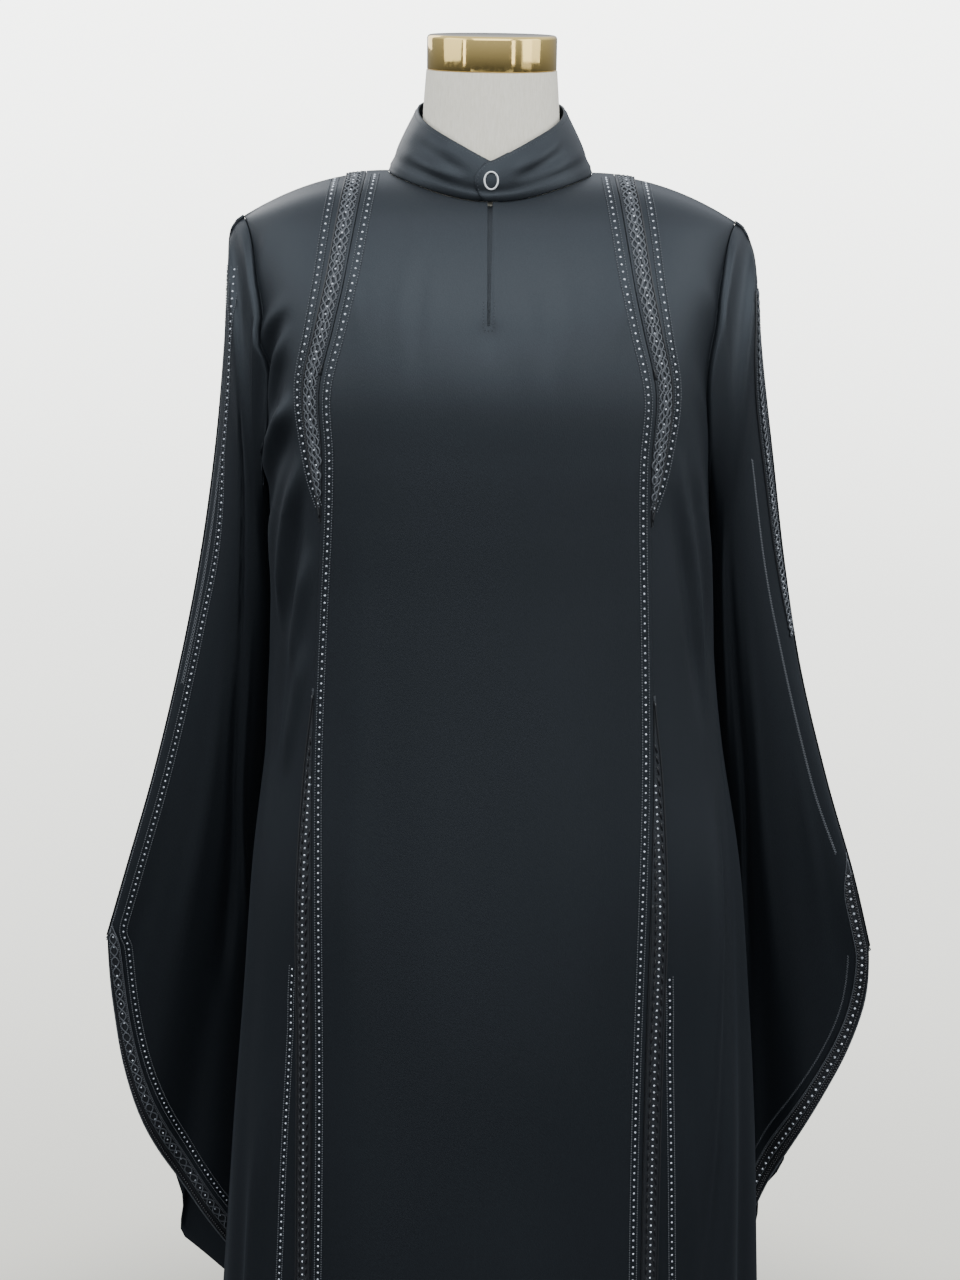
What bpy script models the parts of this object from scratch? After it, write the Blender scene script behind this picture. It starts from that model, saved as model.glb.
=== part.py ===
"""Abaya on a limbless dress form: cloth walls with the garment's hollow shape, a form and its stand.

Metres, +Z up, front towards -Y. The origin is on the floor, in the middle of the stand's base.
Left and right are as seen from the front: left is -X, right is +X.
"""
import math
from bisect import bisect_right
from collections import namedtuple
from functools import lru_cache

import bmesh
import bpy
import numpy as np

# Driving sizes
CLOTH = 0.0015            # thickness of a cloth wall
SEAM = 0.0003             # space between two pieces
LAP = 0.008               # how far the side fronts reach under the centre panel
BRAID_WIDTH = 0.017       # braid on the body
BRAID_THICK = 0.0015
SLEEVE_BRAID_WIDTH = 0.015
COLLAR_THICK = 0.0020
NECK_HALF_WIDTH = 0.0855  # neck seam, seen from above
NECK_FRONT = 0.066
NECK_BACK = 0.058
SHOULDER_FALL = 0.038     # the shoulder tip is this much lower than the neck point
SHOULDER_TIP = 0.208
SLIT_LENGTH = 0.092
SLIT_WIDTH = 0.0012
CAP_RADIUS = 0.054
CAP_TOP = 1.575
CAP_BOTTOM = 1.5468
POLE_RADIUS = 0.0125
BASE_RADIUS = 0.16
BASE_THICK = 0.014

# Body sections from the hem up to the shoulder seam. level: height before the shoulders fall away;
# left, right, front, back: reach from the axis; corner: 2 is an ellipse, more is squarer;
# princess: where the centre panel's edge lies; braid: how far the braid reaches beyond that edge.
Section = namedtuple("Section", "level left right front back corner princess braid")
BODY = [
    Section(0.060, 0.262, 0.283, 0.222, 0.208, 2.3, 0.1520, 0.017),
    Section(0.250, 0.249, 0.273, 0.205, 0.192, 2.3, 0.1490, 0.017),
    Section(0.450, 0.235, 0.263, 0.189, 0.175, 2.3, 0.1470, 0.017),
    Section(0.600, 0.2255, 0.2555, 0.177, 0.162, 2.4, 0.1455, 0.017),
    Section(0.720, 0.217, 0.247, 0.169, 0.153, 2.4, 0.1450, 0.017),
    Section(0.850, 0.2075, 0.2345, 0.159, 0.141, 2.5, 0.1455, 0.017),
    Section(0.960, 0.194, 0.215, 0.151, 0.131, 2.5, 0.1450, 0.010),
    Section(1.040, 0.188, 0.2045, 0.146, 0.124, 2.5, 0.1425, 0.002),
    Section(1.120, 0.1865, 0.199, 0.1425, 0.120, 2.5, 0.1390, 0.002),
    Section(1.185, 0.1885, 0.194, 0.1415, 0.119, 2.5, 0.1360, 0.002),
    Section(1.240, 0.191, 0.193, 0.1405, 0.121, 2.5, 0.1350, 0.014),
    Section(1.295, 0.193, 0.193, 0.137, 0.123, 2.5, 0.1370, 0.017),
    Section(1.345, 0.197, 0.197, 0.124, 0.121, 2.5, 0.1260, 0.017),
    Section(1.385, 0.201, 0.201, 0.107, 0.111, 2.5, 0.1170, 0.017),
    Section(1.420, 0.204, 0.204, 0.086, 0.095, 2.4, 0.1110, 0.017),
    Section(1.443, 0.206, 0.206, 0.0665, 0.076, 2.3, 0.1070, 0.017),
    Section(1.456, 0.2075, 0.2075, 0.042, 0.048, 2.2, 0.1045, 0.017),
    Section(1.462, 0.208, 0.208, 0.0, 0.0, 2.2, 0.1040, 0.017),
]
UNDERARM = 9              # row of the body table at the armhole's lowest point
SHOULDER = len(BODY) - 1  # row at the shoulder seam

# Armhole edge: at which share of the quarter turn from centre front or back to the side it lies.
Armhole = namedtuple("Armhole", "row front back")
ARMHOLE = [
    Armhole(9.0, 1.000, 1.000),
    Armhole(9.15, 0.930, 0.940),
    Armhole(9.5, 0.865, 0.890),
    Armhole(10.0, 0.815, 0.855),
    Armhole(11.0, 0.775, 0.830),
    Armhole(12.0, 0.775, 0.830),
    Armhole(13.0, 0.795, 0.850),
    Armhole(14.0, 0.830, 0.880),
    Armhole(15.0, 0.875, 0.915),
    Armhole(16.0, 0.930, 0.955),
    Armhole(17.0, 1.000, 1.000),
]

# Large folds. turn: 0 centre front, 1 side seam, 2 centre back (minus on the left), at the top and
# the bottom of the fold; top and bottom: body rows; spread: half width in metres; rise: height in
# metres at its fullest, minus for a valley.
Fold = namedtuple("Fold", "turn_top turn_bottom top bottom spread rise")
FOLDS = [
    Fold(-0.78, -0.80, 7.5, -1.0, 0.030, 0.007),
    Fold(-0.66, -0.64, 6.0, -1.0, 0.022, 0.008),
    Fold(-0.93, -0.96, 5.0, -1.0, 0.028, 0.006),
    Fold(-0.62, -0.86, 11.5, 7.0, 0.020, 0.004),
    Fold(-0.24, -0.27, 4.0, -1.0, 0.045, 0.005),
    Fold(0.10, 0.12, 3.5, -1.0, 0.050, 0.005),
    Fold(0.68, 0.64, 6.5, -1.0, 0.024, 0.008),
    Fold(0.82, 0.76, 6.5, -1.0, 0.018, -0.007),
    Fold(0.93, 0.90, 6.0, -1.0, 0.026, 0.007),
    Fold(0.62, 0.84, 11.5, 7.0, 0.020, 0.004),
    Fold(-1.46, -1.44, 8.0, -1.0, 0.030, 0.010),
    Fold(-1.66, -1.64, 9.5, -1.0, 0.026, 0.010),
    Fold(-1.86, -1.84, 9.0, -1.0, 0.030, 0.013),
    Fold(1.95, 1.96, 8.5, -1.0, 0.030, 0.012),
    Fold(1.72, 1.70, 9.5, -1.0, 0.030, 0.012),
    Fold(1.50, 1.48, 8.0, -1.0, 0.030, 0.010),
]

# Sleeve sections from the shoulder down to the cuff. outer_x, outer_z: overarm edge; inner_z: height
# of the underarm edge; outer_y, inner_y: how far back those edges hang; depth: half the space
# between front and back piece; bulge: how far the section bows out and down; clear: space to the body.
SleeveRow = namedtuple("SleeveRow", "outer_x outer_z inner_z outer_y inner_y depth bulge clear")
SLEEVES = {
    "left": [
        SleeveRow(0.2215, 1.385, 1.150, 0.002, 0.004, 0.050, 0.000, 0.0095),
        SleeveRow(0.2268, 1.305, 1.060, 0.004, 0.014, 0.040, 0.000, 0.0115),
        SleeveRow(0.2360, 1.220, 0.950, 0.008, 0.028, 0.033, 0.000, 0.0135),
        SleeveRow(0.2510, 1.125, 0.840, 0.012, 0.044, 0.028, 0.000, 0.0120),
        SleeveRow(0.2720, 1.025, 0.730, 0.016, 0.060, 0.025, 0.004, 0.0120),
        SleeveRow(0.2990, 0.918, 0.620, 0.020, 0.075, 0.023, 0.012, 0.0150),
        SleeveRow(0.3280, 0.820, 0.510, 0.024, 0.088, 0.022, 0.024, 0.0180),
        SleeveRow(0.3510, 0.743, 0.390, 0.028, 0.100, 0.022, 0.036, 0.0200),
    ],
    "right": [
        SleeveRow(0.2265, 1.385, 1.150, 0.002, 0.004, 0.050, 0.000, 0.0060),
        SleeveRow(0.2360, 1.305, 1.060, 0.004, 0.014, 0.040, 0.000, 0.0070),
        SleeveRow(0.2490, 1.220, 0.950, 0.008, 0.028, 0.033, 0.000, 0.0070),
        SleeveRow(0.2640, 1.125, 0.840, 0.012, 0.044, 0.028, 0.000, 0.0070),
        SleeveRow(0.2840, 1.025, 0.730, 0.016, 0.060, 0.025, 0.002, 0.0120),
        SleeveRow(0.3140, 0.918, 0.620, 0.020, 0.075, 0.023, 0.005, 0.0150),
        SleeveRow(0.3440, 0.825, 0.510, 0.024, 0.088, 0.022, 0.010, 0.0180),
        SleeveRow(0.3665, 0.742, 0.390, 0.028, 0.100, 0.022, 0.018, 0.0200),
    ],
}
BULGE_SKEW = {"left": 1.0, "right": 2.6}   # above 1 the cuff bows out near the overarm only
BACK_CUFF_DROP = 0.024                     # the back piece hangs this much lower near the underarm
CORNER_DROP = 0.038                        # the underarm corner of the cuff hangs this much lower
BACK_LOBE = {"left": 0.045, "right": 0.008}   # lobe of the back piece below the front one
LAST = 8                                   # number of the last sleeve row, at the cuff

# Long soft folds of the sleeves. across: 0 underarm edge, 1 overarm edge; start, end: sleeve rows.
SleeveFold = namedtuple("SleeveFold", "across start end spread rise")
SLEEVE_FOLDS = [
    SleeveFold(0.30, 2.0, 9.5, 0.085, -0.006),
    SleeveFold(0.52, 3.0, 9.5, 0.110, 0.005),
    SleeveFold(0.80, 4.0, 9.5, 0.080, -0.004),
]

# Collar: height of its top edge and its reach there, front, side and back.
CollarTop = namedtuple("CollarTop", "angle height x_reach y_reach")
COLLAR_TOP = [
    CollarTop(0.0, 1.4770, 0.0625, 0.0630),
    CollarTop(45.0, 1.4990, 0.0625, 0.0630),
    CollarTop(90.0, 1.5125, 0.0625, 0.0630),
    CollarTop(135.0, 1.5200, 0.0690, 0.0650),
    CollarTop(180.0, 1.5230, 0.0690, 0.0660),
]
COLLAR_START = -1.5       # degrees from centre front where the lapping end starts at its top
COLLAR_ROUND = 8.5        # degrees by which its rounded end bows further out
COLLAR_END = 14.0         # degrees where the end beneath stops
SNAP_HEIGHT = 0.52        # share of the collar's height
SNAP_ANGLE = 0.5

# Dress form from its lower edge to the neck: height, half width, front, back, corner.
FormRow = namedtuple("FormRow", "height half front back corner")
FORM = [
    FormRow(0.828, 0.158, 0.104, 0.106, 2.2),
    FormRow(0.840, 0.164, 0.108, 0.112, 2.2),
    FormRow(0.900, 0.169, 0.112, 0.116, 2.2),
    FormRow(0.970, 0.160, 0.106, 0.112, 2.2),
    FormRow(1.030, 0.134, 0.096, 0.098, 2.2),
    FormRow(1.070, 0.122, 0.092, 0.088, 2.2),
    FormRow(1.120, 0.127, 0.100, 0.090, 2.2),
    FormRow(1.180, 0.144, 0.117, 0.098, 2.2),
    FormRow(1.240, 0.158, 0.130, 0.106, 2.2),
    FormRow(1.290, 0.167, 0.128, 0.110, 2.2),
    FormRow(1.335, 0.174, 0.114, 0.108, 2.2),
    FormRow(1.370, 0.178, 0.099, 0.101, 2.2),
    FormRow(1.400, 0.180, 0.083, 0.089, 2.1),
    FormRow(1.420, 0.178, 0.069, 0.075, 1.9),
    FormRow(1.436, 0.168, 0.058, 0.062, 1.6),
    FormRow(1.447, 0.146, 0.0565, 0.0560, 1.4),
    FormRow(1.4545, 0.115, 0.0558, 0.0545, 1.3),
    FormRow(1.4590, 0.0870, 0.0555, 0.0540, 1.45),
    FormRow(1.4670, 0.0690, 0.0553, 0.0540, 1.8),
    FormRow(1.4780, 0.0605, 0.0552, 0.0540, 2.0),
    FormRow(1.5000, 0.0578, 0.0550, 0.0545, 2.0),
    FormRow(1.5250, 0.0562, 0.0548, 0.0545, 2.0),
    FormRow(1.5465, 0.0545, 0.0545, 0.0545, 2.0),
]
FORM_SIDES = 40

# Rows shared by every body panel, so that pieces which lie on each other have the same facets
SKIRT_ROWS = [0.0, 0.6, 1.2, 1.8, 2.4, 3.0, 3.5, 4.0, 4.5, 5.0, 5.5, 6.0, 6.5, 7.0, 7.5, 8.0, 8.5]
ARMHOLE_ROWS = [9.0, 9.15, 9.5, 10.0, 10.8, 11.6, 12.4, 13.2, 14.0, 14.8, 15.6, 16.4, 17.0]
SLEEVE_STEPS = [0.0, 0.15, 0.35, 0.65, 1.0, 1.5, 2.0, 2.6, 3.2, 3.8, 4.4, 5.0, 5.6, 6.2, 6.8, 7.3]
NECK_ANGLES = [-90.0, -68.0, -46.0, -23.0, 0.0, 23.0, 46.0, 68.0, 90.0]
FRONT_NECK_ANGLES = [-90.0, -68.0, -46.0, -23.0, -11.0, 0.0, 7.0, 14.0, 23.0, 46.0, 68.0, 90.0]
SIDE_COLUMNS = 6
BACK_COLUMNS = 5
STEP = 0.002              # small step for slopes, in turns and metres
ROW_STEP = 0.01           # the same in body rows
BACK_CORNER = 2.2         # squareness of the back's sections


def curve(knots, values, at):
    """Smooth curve through the values at the knots."""
    place = min(max(bisect_right(knots, at) - 1, 0), len(knots) - 2)
    gap = knots[place + 1] - knots[place]
    share = (at - knots[place]) / gap

    def slope(index):
        before = max(index - 1, 0)
        after = min(index + 1, len(knots) - 1)
        return (values[after] - values[before]) / (knots[after] - knots[before])

    low, high = values[place], values[place + 1]
    rise, run = slope(place) * gap, slope(place + 1) * gap
    square, cube = share * share, share ** 3
    return (low * (2 * cube - 3 * square + 1) + rise * (cube - 2 * square + share)
            + high * (3 * square - 2 * cube) + run * (cube - square))


def smoothstep(low, high, value):
    share = min(max((value - low) / (high - low), 0.0), 1.0)
    return share * share * (3 - 2 * share)


def unit(vector):
    return vector / max(np.linalg.norm(vector), 1e-12)


@lru_cache(maxsize=None)
def body_value(name, row):
    """A column of the body table at any row."""
    return curve(list(range(len(BODY))), [getattr(section, name) for section in BODY], row)


def body_plain(turn, row):
    """Point on the body without its folds. turn: 0 centre front, 1 side, 2 centre back."""
    turn = (turn + 2) % 4 - 2
    share = abs(turn)
    wide = body_value("right" if turn >= 0 else "left", row)
    front = share <= 1
    deep = max(body_value("front" if front else "back", row), 0.0)
    corner = body_value("corner", row) if front else BACK_CORNER
    angle = (share if front else 2 - share) * math.pi / 2
    x = wide * math.sin(angle) ** (2 / corner)
    y = deep * max(math.cos(angle), 0.0) ** (2 / corner)
    past_neck = max(x - NECK_HALF_WIDTH, 0.0) / (SHOULDER_TIP - NECK_HALF_WIDTH)
    rise = smoothstep(9.5, SHOULDER, row) ** 1.2
    z = body_value("level", row) - SHOULDER_FALL * past_neck ** 2 * rise
    return np.array([math.copysign(x, turn), -y if front else y, z])


def turn_at(x, row, front=True):
    """The turn at which the body has this x."""
    wide = body_value("right" if x >= 0 else "left", row)
    corner = body_value("corner", row) if front else BACK_CORNER
    angle = math.asin(min(abs(x) / wide, 1.0) ** (corner / 2))
    share = angle / (math.pi / 2)
    return math.copysign(share if front else 2 - share, x if x else 1.0)


def body_normal(turn, row):
    """Outward direction of the body without its folds."""
    low, high = max(row - ROW_STEP, 0.0), min(row + ROW_STEP, float(SHOULDER))
    around = body_plain(turn + STEP, row) - body_plain(turn - STEP, row)
    upward = body_plain(turn, high) - body_plain(turn, low)
    return unit(np.cross(around, upward))


def fold_height(turn, row):
    """How far the folds lift the cloth at a place on the body."""
    total = 0.0
    girth = 0.5 * math.pi * body_value("right" if turn >= 0 else "left", row)
    for fold in FOLDS:
        down = min(max((fold.top - row) / (fold.top - fold.bottom), 0.0), 1.0)
        swell = smoothstep(0.0, 0.75, down)
        if fold.bottom > 0:
            swell *= 1 - smoothstep(0.6, 1.0, down)
            swell *= 2.0
        centre = fold.turn_top + (fold.turn_bottom - fold.turn_top) * down
        apart = abs(turn - centre)
        apart = min(apart, 4 - apart) * girth
        total += fold.rise * swell * math.exp(-(apart / fold.spread) ** 2)
    return total


def body_point(turn, row, out=0.0):
    """Point on the outer face of the body's cloth, moved out by a distance."""
    return body_plain(turn, row) + body_normal(turn, row) * (fold_height(turn, row) + out)


@lru_cache(maxsize=None)
def neck_row(x, front=True):
    """Body row at which a column that ends at this x meets the neck seam."""
    depth = NECK_FRONT if front else NECK_BACK
    target = depth * math.sqrt(max(1 - (x / NECK_HALF_WIDTH) ** 2, 0.0))
    low, high = 12.0, float(SHOULDER)
    for _ in range(40):
        middle = (low + high) / 2
        if abs(body_plain(turn_at(x, middle, front), middle)[1]) > target:
            low = middle
        else:
            high = middle
    return high


def wall(name, outer, inner, material):
    """Closed wall between two grids of points, rows by columns."""
    rows, columns = len(outer), len(outer[0])
    mesh = bmesh.new()
    skins = [[[mesh.verts.new(point) for point in line] for line in grid] for grid in (outer, inner)]

    def quad(a, b, c, d):
        mesh.faces.new((a, b, c))
        mesh.faces.new((a, c, d))

    for i in range(rows - 1):
        for j in range(columns - 1):
            face, back = skins
            quad(face[i][j], face[i][j + 1], face[i + 1][j + 1], face[i + 1][j])
            mesh.faces.new((back[i][j], back[i + 1][j + 1], back[i][j + 1]))
            mesh.faces.new((back[i][j], back[i + 1][j], back[i + 1][j + 1]))
    rim = [(0, j) for j in range(columns)] + [(i, columns - 1) for i in range(1, rows)]
    rim += [(rows - 1, j) for j in range(columns - 2, -1, -1)] + [(i, 0) for i in range(rows - 2, 0, -1)]
    for (i, j), (k, m) in zip(rim, rim[1:] + rim[:1]):
        quad(skins[0][i][j], skins[1][i][j], skins[1][k][m], skins[0][k][m])
    return finish(name, mesh, material)


def finish(name, mesh, material):
    """Make an object from a bmesh, with its faces out."""
    bmesh.ops.recalc_face_normals(mesh, faces=mesh.faces)
    if mesh.calc_volume(signed=True) < 0:
        bmesh.ops.reverse_faces(mesh, faces=mesh.faces)
    data = bpy.data.meshes.new(name)
    mesh.to_mesh(data)
    mesh.free()
    data.shade_smooth()
    data.set_sharp_from_angle(angle=math.radians(40))
    data.materials.append(material)
    item = bpy.data.objects.new(name, data)
    bpy.context.scene.collection.objects.link(item)
    return item


def make_material(name, colour, roughness, metallic=0.0):
    material = bpy.data.materials.new(name)
    material.use_nodes = True
    shader = material.node_tree.nodes["Principled BSDF"]
    shader.inputs["Base Color"].default_value = (*colour, 1.0)
    shader.inputs["Roughness"].default_value = roughness
    shader.inputs["Metallic"].default_value = metallic
    return material


def panel(name, columns_at, rows_of, material, out=0.0, thick=CLOTH, seam_y=None):
    """Wall that follows the body. columns_at(row) gives the turns, rows_of(column) the rows."""
    count = len(columns_at(0.0))
    lines = len(rows_of(0))
    outer, inner = [], []
    for i in range(lines):
        face, back = [], []
        for j in range(count):
            row = rows_of(j)[i]
            turn = columns_at(row)[j]
            point = body_point(turn, row, out)
            normal = body_normal(turn, row)
            flat_seam = row >= SHOULDER or abs(abs(turn) - 1) < 1e-9
            if seam_y is not None and flat_seam:
                normal = unit(normal * np.array([1.0, 0.0, 1.0]))
                point[1] = seam_y
            face.append(point)
            back.append(point - normal * thick)
        outer.append(face)
        inner.append(back)
    return wall(name, outer, inner, material)


def side_sign(side):
    return 1.0 if side == "right" else -1.0


def lap_turn(side, row, beyond):
    """Turn of the line that lies this far beyond the centre panel's edge, measured round the body."""
    sign = side_sign(side)
    edge = body_value("princess", row)
    here = body_plain(turn_at(sign * edge, row), row)
    ahead = body_plain(turn_at(sign * (edge + STEP), row), row)
    across = STEP / max(np.linalg.norm((ahead - here)[:2]), 1e-9)
    return turn_at(sign * (edge + beyond * across), row)


def armhole_turn(side, row, front=True):
    rows = [line.row for line in ARMHOLE]
    share = 1.0
    if row > UNDERARM:
        share = curve(rows, [line.front if front else line.back for line in ARMHOLE], row)
    return side_sign(side) * (share if front else 2 - share)


def front_rows_at(x_at_top):
    """Rows of a centre panel column, squeezed so that it ends at the neck seam."""
    end = SHOULDER if abs(x_at_top) >= NECK_HALF_WIDTH - 1e-6 else neck_row(x_at_top)
    start = 11.6
    upper = [row if row <= start else start + (row - start) * (end - start) / (SHOULDER - start)
             for row in ARMHOLE_ROWS]
    return SKIRT_ROWS + upper


def make_centre_panel(material):
    """Centre front with its folded edges lapped over the side fronts, and the neck slit."""
    shares = [NECK_HALF_WIDTH * math.sin(math.radians(angle)) / BODY[-1].princess
              for angle in FRONT_NECK_ANGLES]

    def columns_at(row):
        edge = body_value("princess", row)
        inside = [turn_at(share * edge, row) for share in shares]
        left = [lap_turn("left", row, 0.0), lap_turn("left", row, -LAP)]
        right = [lap_turn("right", row, -LAP), lap_turn("right", row, 0.0)]
        return left + inside + right

    tops = [-BODY[-1].princess] * 2 + [share * BODY[-1].princess for share in shares]
    tops += [BODY[-1].princess] * 2
    all_rows = [front_rows_at(top) for top in tops]
    item = panel("front_centre_panel", columns_at, lambda j: all_rows[j], material,
                 out=CLOTH + SEAM, seam_y=-SEAM / 2)
    cut_slit(item)
    return item


def cut_slit(item):
    """Cut the neck slit through the centre panel."""
    top = body_point(0.0, neck_row(0.0))
    cutter = bmesh.new()
    bmesh.ops.create_cube(cutter, size=1.0)
    for corner in cutter.verts:
        high = corner.co.z > 0
        corner.co.x *= SLIT_WIDTH if high else SLIT_WIDTH * 0.5
        corner.co.y = top[1] + corner.co.y * 0.16
        corner.co.z = top[2] + (0.03 if high else -SLIT_LENGTH)
    data = bpy.data.meshes.new("slit_cutter")
    cutter.to_mesh(data)
    cutter.free()
    blade = bpy.data.objects.new("slit_cutter", data)
    bpy.context.scene.collection.objects.link(blade)
    blade.hide_render = True
    blade.display_type = "WIRE"
    cut = item.modifiers.new("slit", "BOOLEAN")
    cut.operation = "DIFFERENCE"
    cut.solver = "EXACT"
    cut.object = blade


def side_front_columns(side, row):
    """Turns between the lap under the centre panel and the armhole or side seam, from -X to +X."""
    inner = [lap_turn(side, row, -LAP), lap_turn(side, row, SEAM)]
    reach = lap_turn(side, row, max(body_value("braid", row), 0.002) + SEAM)
    edge = armhole_turn(side, row)
    spread = [reach + (edge - reach) * (step / SIDE_COLUMNS) for step in range(SIDE_COLUMNS + 1)]
    columns = inner + spread
    return columns if side == "right" else columns[::-1]


def make_side_front(side, material):
    rows = SKIRT_ROWS + ARMHOLE_ROWS
    return panel(f"side_front_{side}", lambda row: side_front_columns(side, row), lambda j: rows,
                 material, seam_y=-SEAM / 2)


def make_back_panel(material):
    """Back in one piece, from armhole to armhole."""
    shares = [math.sin(math.radians(angle)) * NECK_HALF_WIDTH / SHOULDER_TIP for angle in NECK_ANGLES]
    tops, turns = [], []
    for step in range(BACK_COLUMNS):
        blend = step / BACK_COLUMNS
        turns.append(("side", "left", blend))
        tops.append(None)
    for share in shares:
        turns.append(("neck", share, None))
        tops.append(share * SHOULDER_TIP)
    for step in range(BACK_COLUMNS - 1, -1, -1):
        turns.append(("side", "right", step / BACK_COLUMNS))
        tops.append(None)

    def neck_turn(share, row):
        wide = body_value("right" if share >= 0 else "left", row)
        return turn_at(share * wide, row, front=False)

    def columns_at(row):
        result = []
        for kind, first, blend in turns:
            if kind == "neck":
                result.append(neck_turn(first, row))
            else:
                edge = armhole_turn(first, row, front=False)
                near = neck_turn(side_sign(first) * shares[-1], row)
                result.append(edge + (near - edge) * blend)
        return result

    def rows_of(column):
        if tops[column] is None or abs(tops[column]) >= NECK_HALF_WIDTH - 1e-6:
            return SKIRT_ROWS + ARMHOLE_ROWS
        end = neck_row(tops[column], front=False)
        start = 11.6
        return SKIRT_ROWS + [row if row <= start else
                             start + (row - start) * (end - start) / (SHOULDER - start)
                             for row in ARMHOLE_ROWS]

    return panel("back_panel", columns_at, rows_of, material, seam_y=SEAM / 2)


def make_body_braids(side, material):
    """The braid beside the centre panel's edge: above, and where it comes out again below."""
    above = ARMHOLE_ROWS
    below = [row for row in SKIRT_ROWS if row <= 7.0]
    strip = slice(1, 3) if side == "right" else slice(-3, -1)
    for name, rows in ((f"chest_braid_{side}", above), (f"skirt_braid_{side}", below)):
        panel(name, lambda row: side_front_columns(side, row)[strip], lambda j, r=rows: r, material,
              out=SEAM + BRAID_THICK, thick=BRAID_THICK, seam_y=-SEAM / 2)


def body_reach(side, y, z):
    """How far out the body's side lies at this place."""
    rows = np.linspace(0, UNDERARM, 181)
    levels = [body_value("level", row) for row in rows]
    row = float(np.interp(z, levels, rows))
    wide, deep = body_value(side, row), body_value("back" if y > 0 else "front", row)
    return wide * (1 - min(abs(y) / deep, 1.0) ** BACK_CORNER) ** (1 / BACK_CORNER)


def armhole_point(side, front, row):
    """Point on the armhole's edge, and the way on from it, away from the body."""
    turn = armhole_turn(side, row, front)
    point = body_point(turn, row)
    if row >= SHOULDER or row <= UNDERARM:
        point[1] = 0.0
    before, after = max(row - 0.05, UNDERARM), min(row + 0.05, SHOULDER)
    along = unit(body_point(armhole_turn(side, after, front), after)
                 - body_point(armhole_turn(side, before, front), before))
    if row <= UNDERARM:
        away = np.array([0.0, 0.0, 1.0])
    else:
        away = unit(np.cross(along, body_normal(turn, row)))
        middle = np.array([side_sign(side) * 0.205, 0.0, 1.305])
        if away @ (middle - point) < 0:
            away = -away
    return point, away


def sleeve_depth_share(across, number):
    """Shape of the sleeve's section: blunt like the armhole above, thinner at the edges below."""
    bluntness = 0.35 + 0.35 * smoothstep(1.0, 4.0, number)
    return math.sin(math.pi * min(max(across, 0.0), 1.0)) ** bluntness


def sleeve_rings(side, front, shift, armhole_row):
    """Points down one line of the sleeve, at the armhole and at each row of its table."""
    sign = side_sign(side)
    facing = -1.0 if front else 1.0
    start, away = armhole_point(side, front, armhole_row)
    first = start + away * SEAM
    lobe = math.sin(math.pi * shift)
    knots = [0.0, 0.15, 0.35]
    points = [first]
    for push, lift, fall in ((0.0045, 0.0045, 0.007), (0.0090, 0.0020, 0.020)):
        points.append(first + np.array([sign * push, facing * 0.003 * lobe,
                                        lift * (1 - shift) ** 2 - fall * shift ** 2]))
    for number, line in enumerate(SLEEVES[side], start=1):
        inner_x = body_reach(side, line.inner_y, line.inner_z) + line.clear
        inner = np.array([inner_x, line.inner_y, line.inner_z])
        outer = np.array([line.outer_x, line.outer_y, line.outer_z])
        run = outer - inner
        place = inner + run * shift
        bow = line.bulge * math.sin(math.pi * shift ** BULGE_SKEW[side])
        normal = unit(np.array([run[2], 0.0, -run[0]]))
        place = place + normal * bow
        place[2] -= CORNER_DROP * float(smoothstep(6.0, LAST, number)) * (1 - shift) ** 3
        if not front:
            lobe_share = float(smoothstep(0.0, 0.16, shift)) * (1 - float(smoothstep(0.22, 0.34, shift)))
            lobe_share *= float(smoothstep(6.0, LAST, number))
            place = place + np.array([0.35, 0.0, -1.0]) * BACK_LOBE[side] * lobe_share
            drop = smoothstep(5.0, LAST, number) * math.sin(math.pi * min(shift * 1.15, 1.0)) ** 0.8
            place = place + np.array([0.35, 0.0, -1.0]) * BACK_CUFF_DROP * drop * (1 - shift)
        place[1] += facing * line.depth * sleeve_depth_share(shift, number)
        points.append(np.array([sign * place[0], place[1], place[2]]))
        knots.append(float(number))
    return knots, points


def rim_lean(step):
    """Angle that an edge of the sleeve has turned: from lying in the cloth's run at the armhole to
    two layers that face each other."""
    return smoothstep(0.1, 1.6, step) * math.pi / 2


def sleeve_shift(side, step, armhole_row):
    """Place across the sleeve of the line that starts at this armhole row."""
    share = (armhole_row - UNDERARM) / (SHOULDER - UNDERARM)
    if armhole_row != ARMHOLE_ROWS[-2]:
        return share
    lengths = [0.24] + [math.dist((line.outer_x, line.outer_z), (0.205, line.inner_z))
                        for line in SLEEVES[side]]
    length = curve(list(range(LAST + 1)), lengths, step)
    target = 1 - (SLEEVE_BRAID_WIDTH + SEAM) / length
    return share + (target - share) * smoothstep(0.0, 1.0, step)


def sleeve_fold(step, shift):
    total = 0.0
    for fold in SLEEVE_FOLDS:
        down = smoothstep(fold.start, fold.end, step)
        total += fold.rise * down * math.exp(-((shift - fold.across) / fold.spread) ** 2)
    return total


def sleeve_point(side, front, step, armhole_row):
    """Point on the outer face of a sleeve piece."""
    facing = -1.0 if front else 1.0
    shift = sleeve_shift(side, step, armhole_row)
    knots, points = sleeve_rings(side, front, shift, armhole_row)
    place = np.array([curve(knots, [point[axis] for point in points], step) for axis in range(3)])
    edge = SEAM / 2 + CLOTH * math.sin(rim_lean(step))
    at_rim = armhole_row in (ARMHOLE_ROWS[0], ARMHOLE_ROWS[-1])
    place[1] += facing * (edge if at_rim or step > 0 else 0.0)
    place[1] += facing * (0.0 if at_rim else sleeve_fold(step, shift))
    return place


def cuff_step(side, armhole_row):
    """Sleeve row at which the front piece ends and its braided border begins."""
    here = sleeve_point(side, True, LAST, armhole_row)
    above = sleeve_point(side, True, LAST - 0.5, armhole_row)
    return LAST - 0.5 * SLEEVE_BRAID_WIDTH / np.linalg.norm(here - above)


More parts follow.
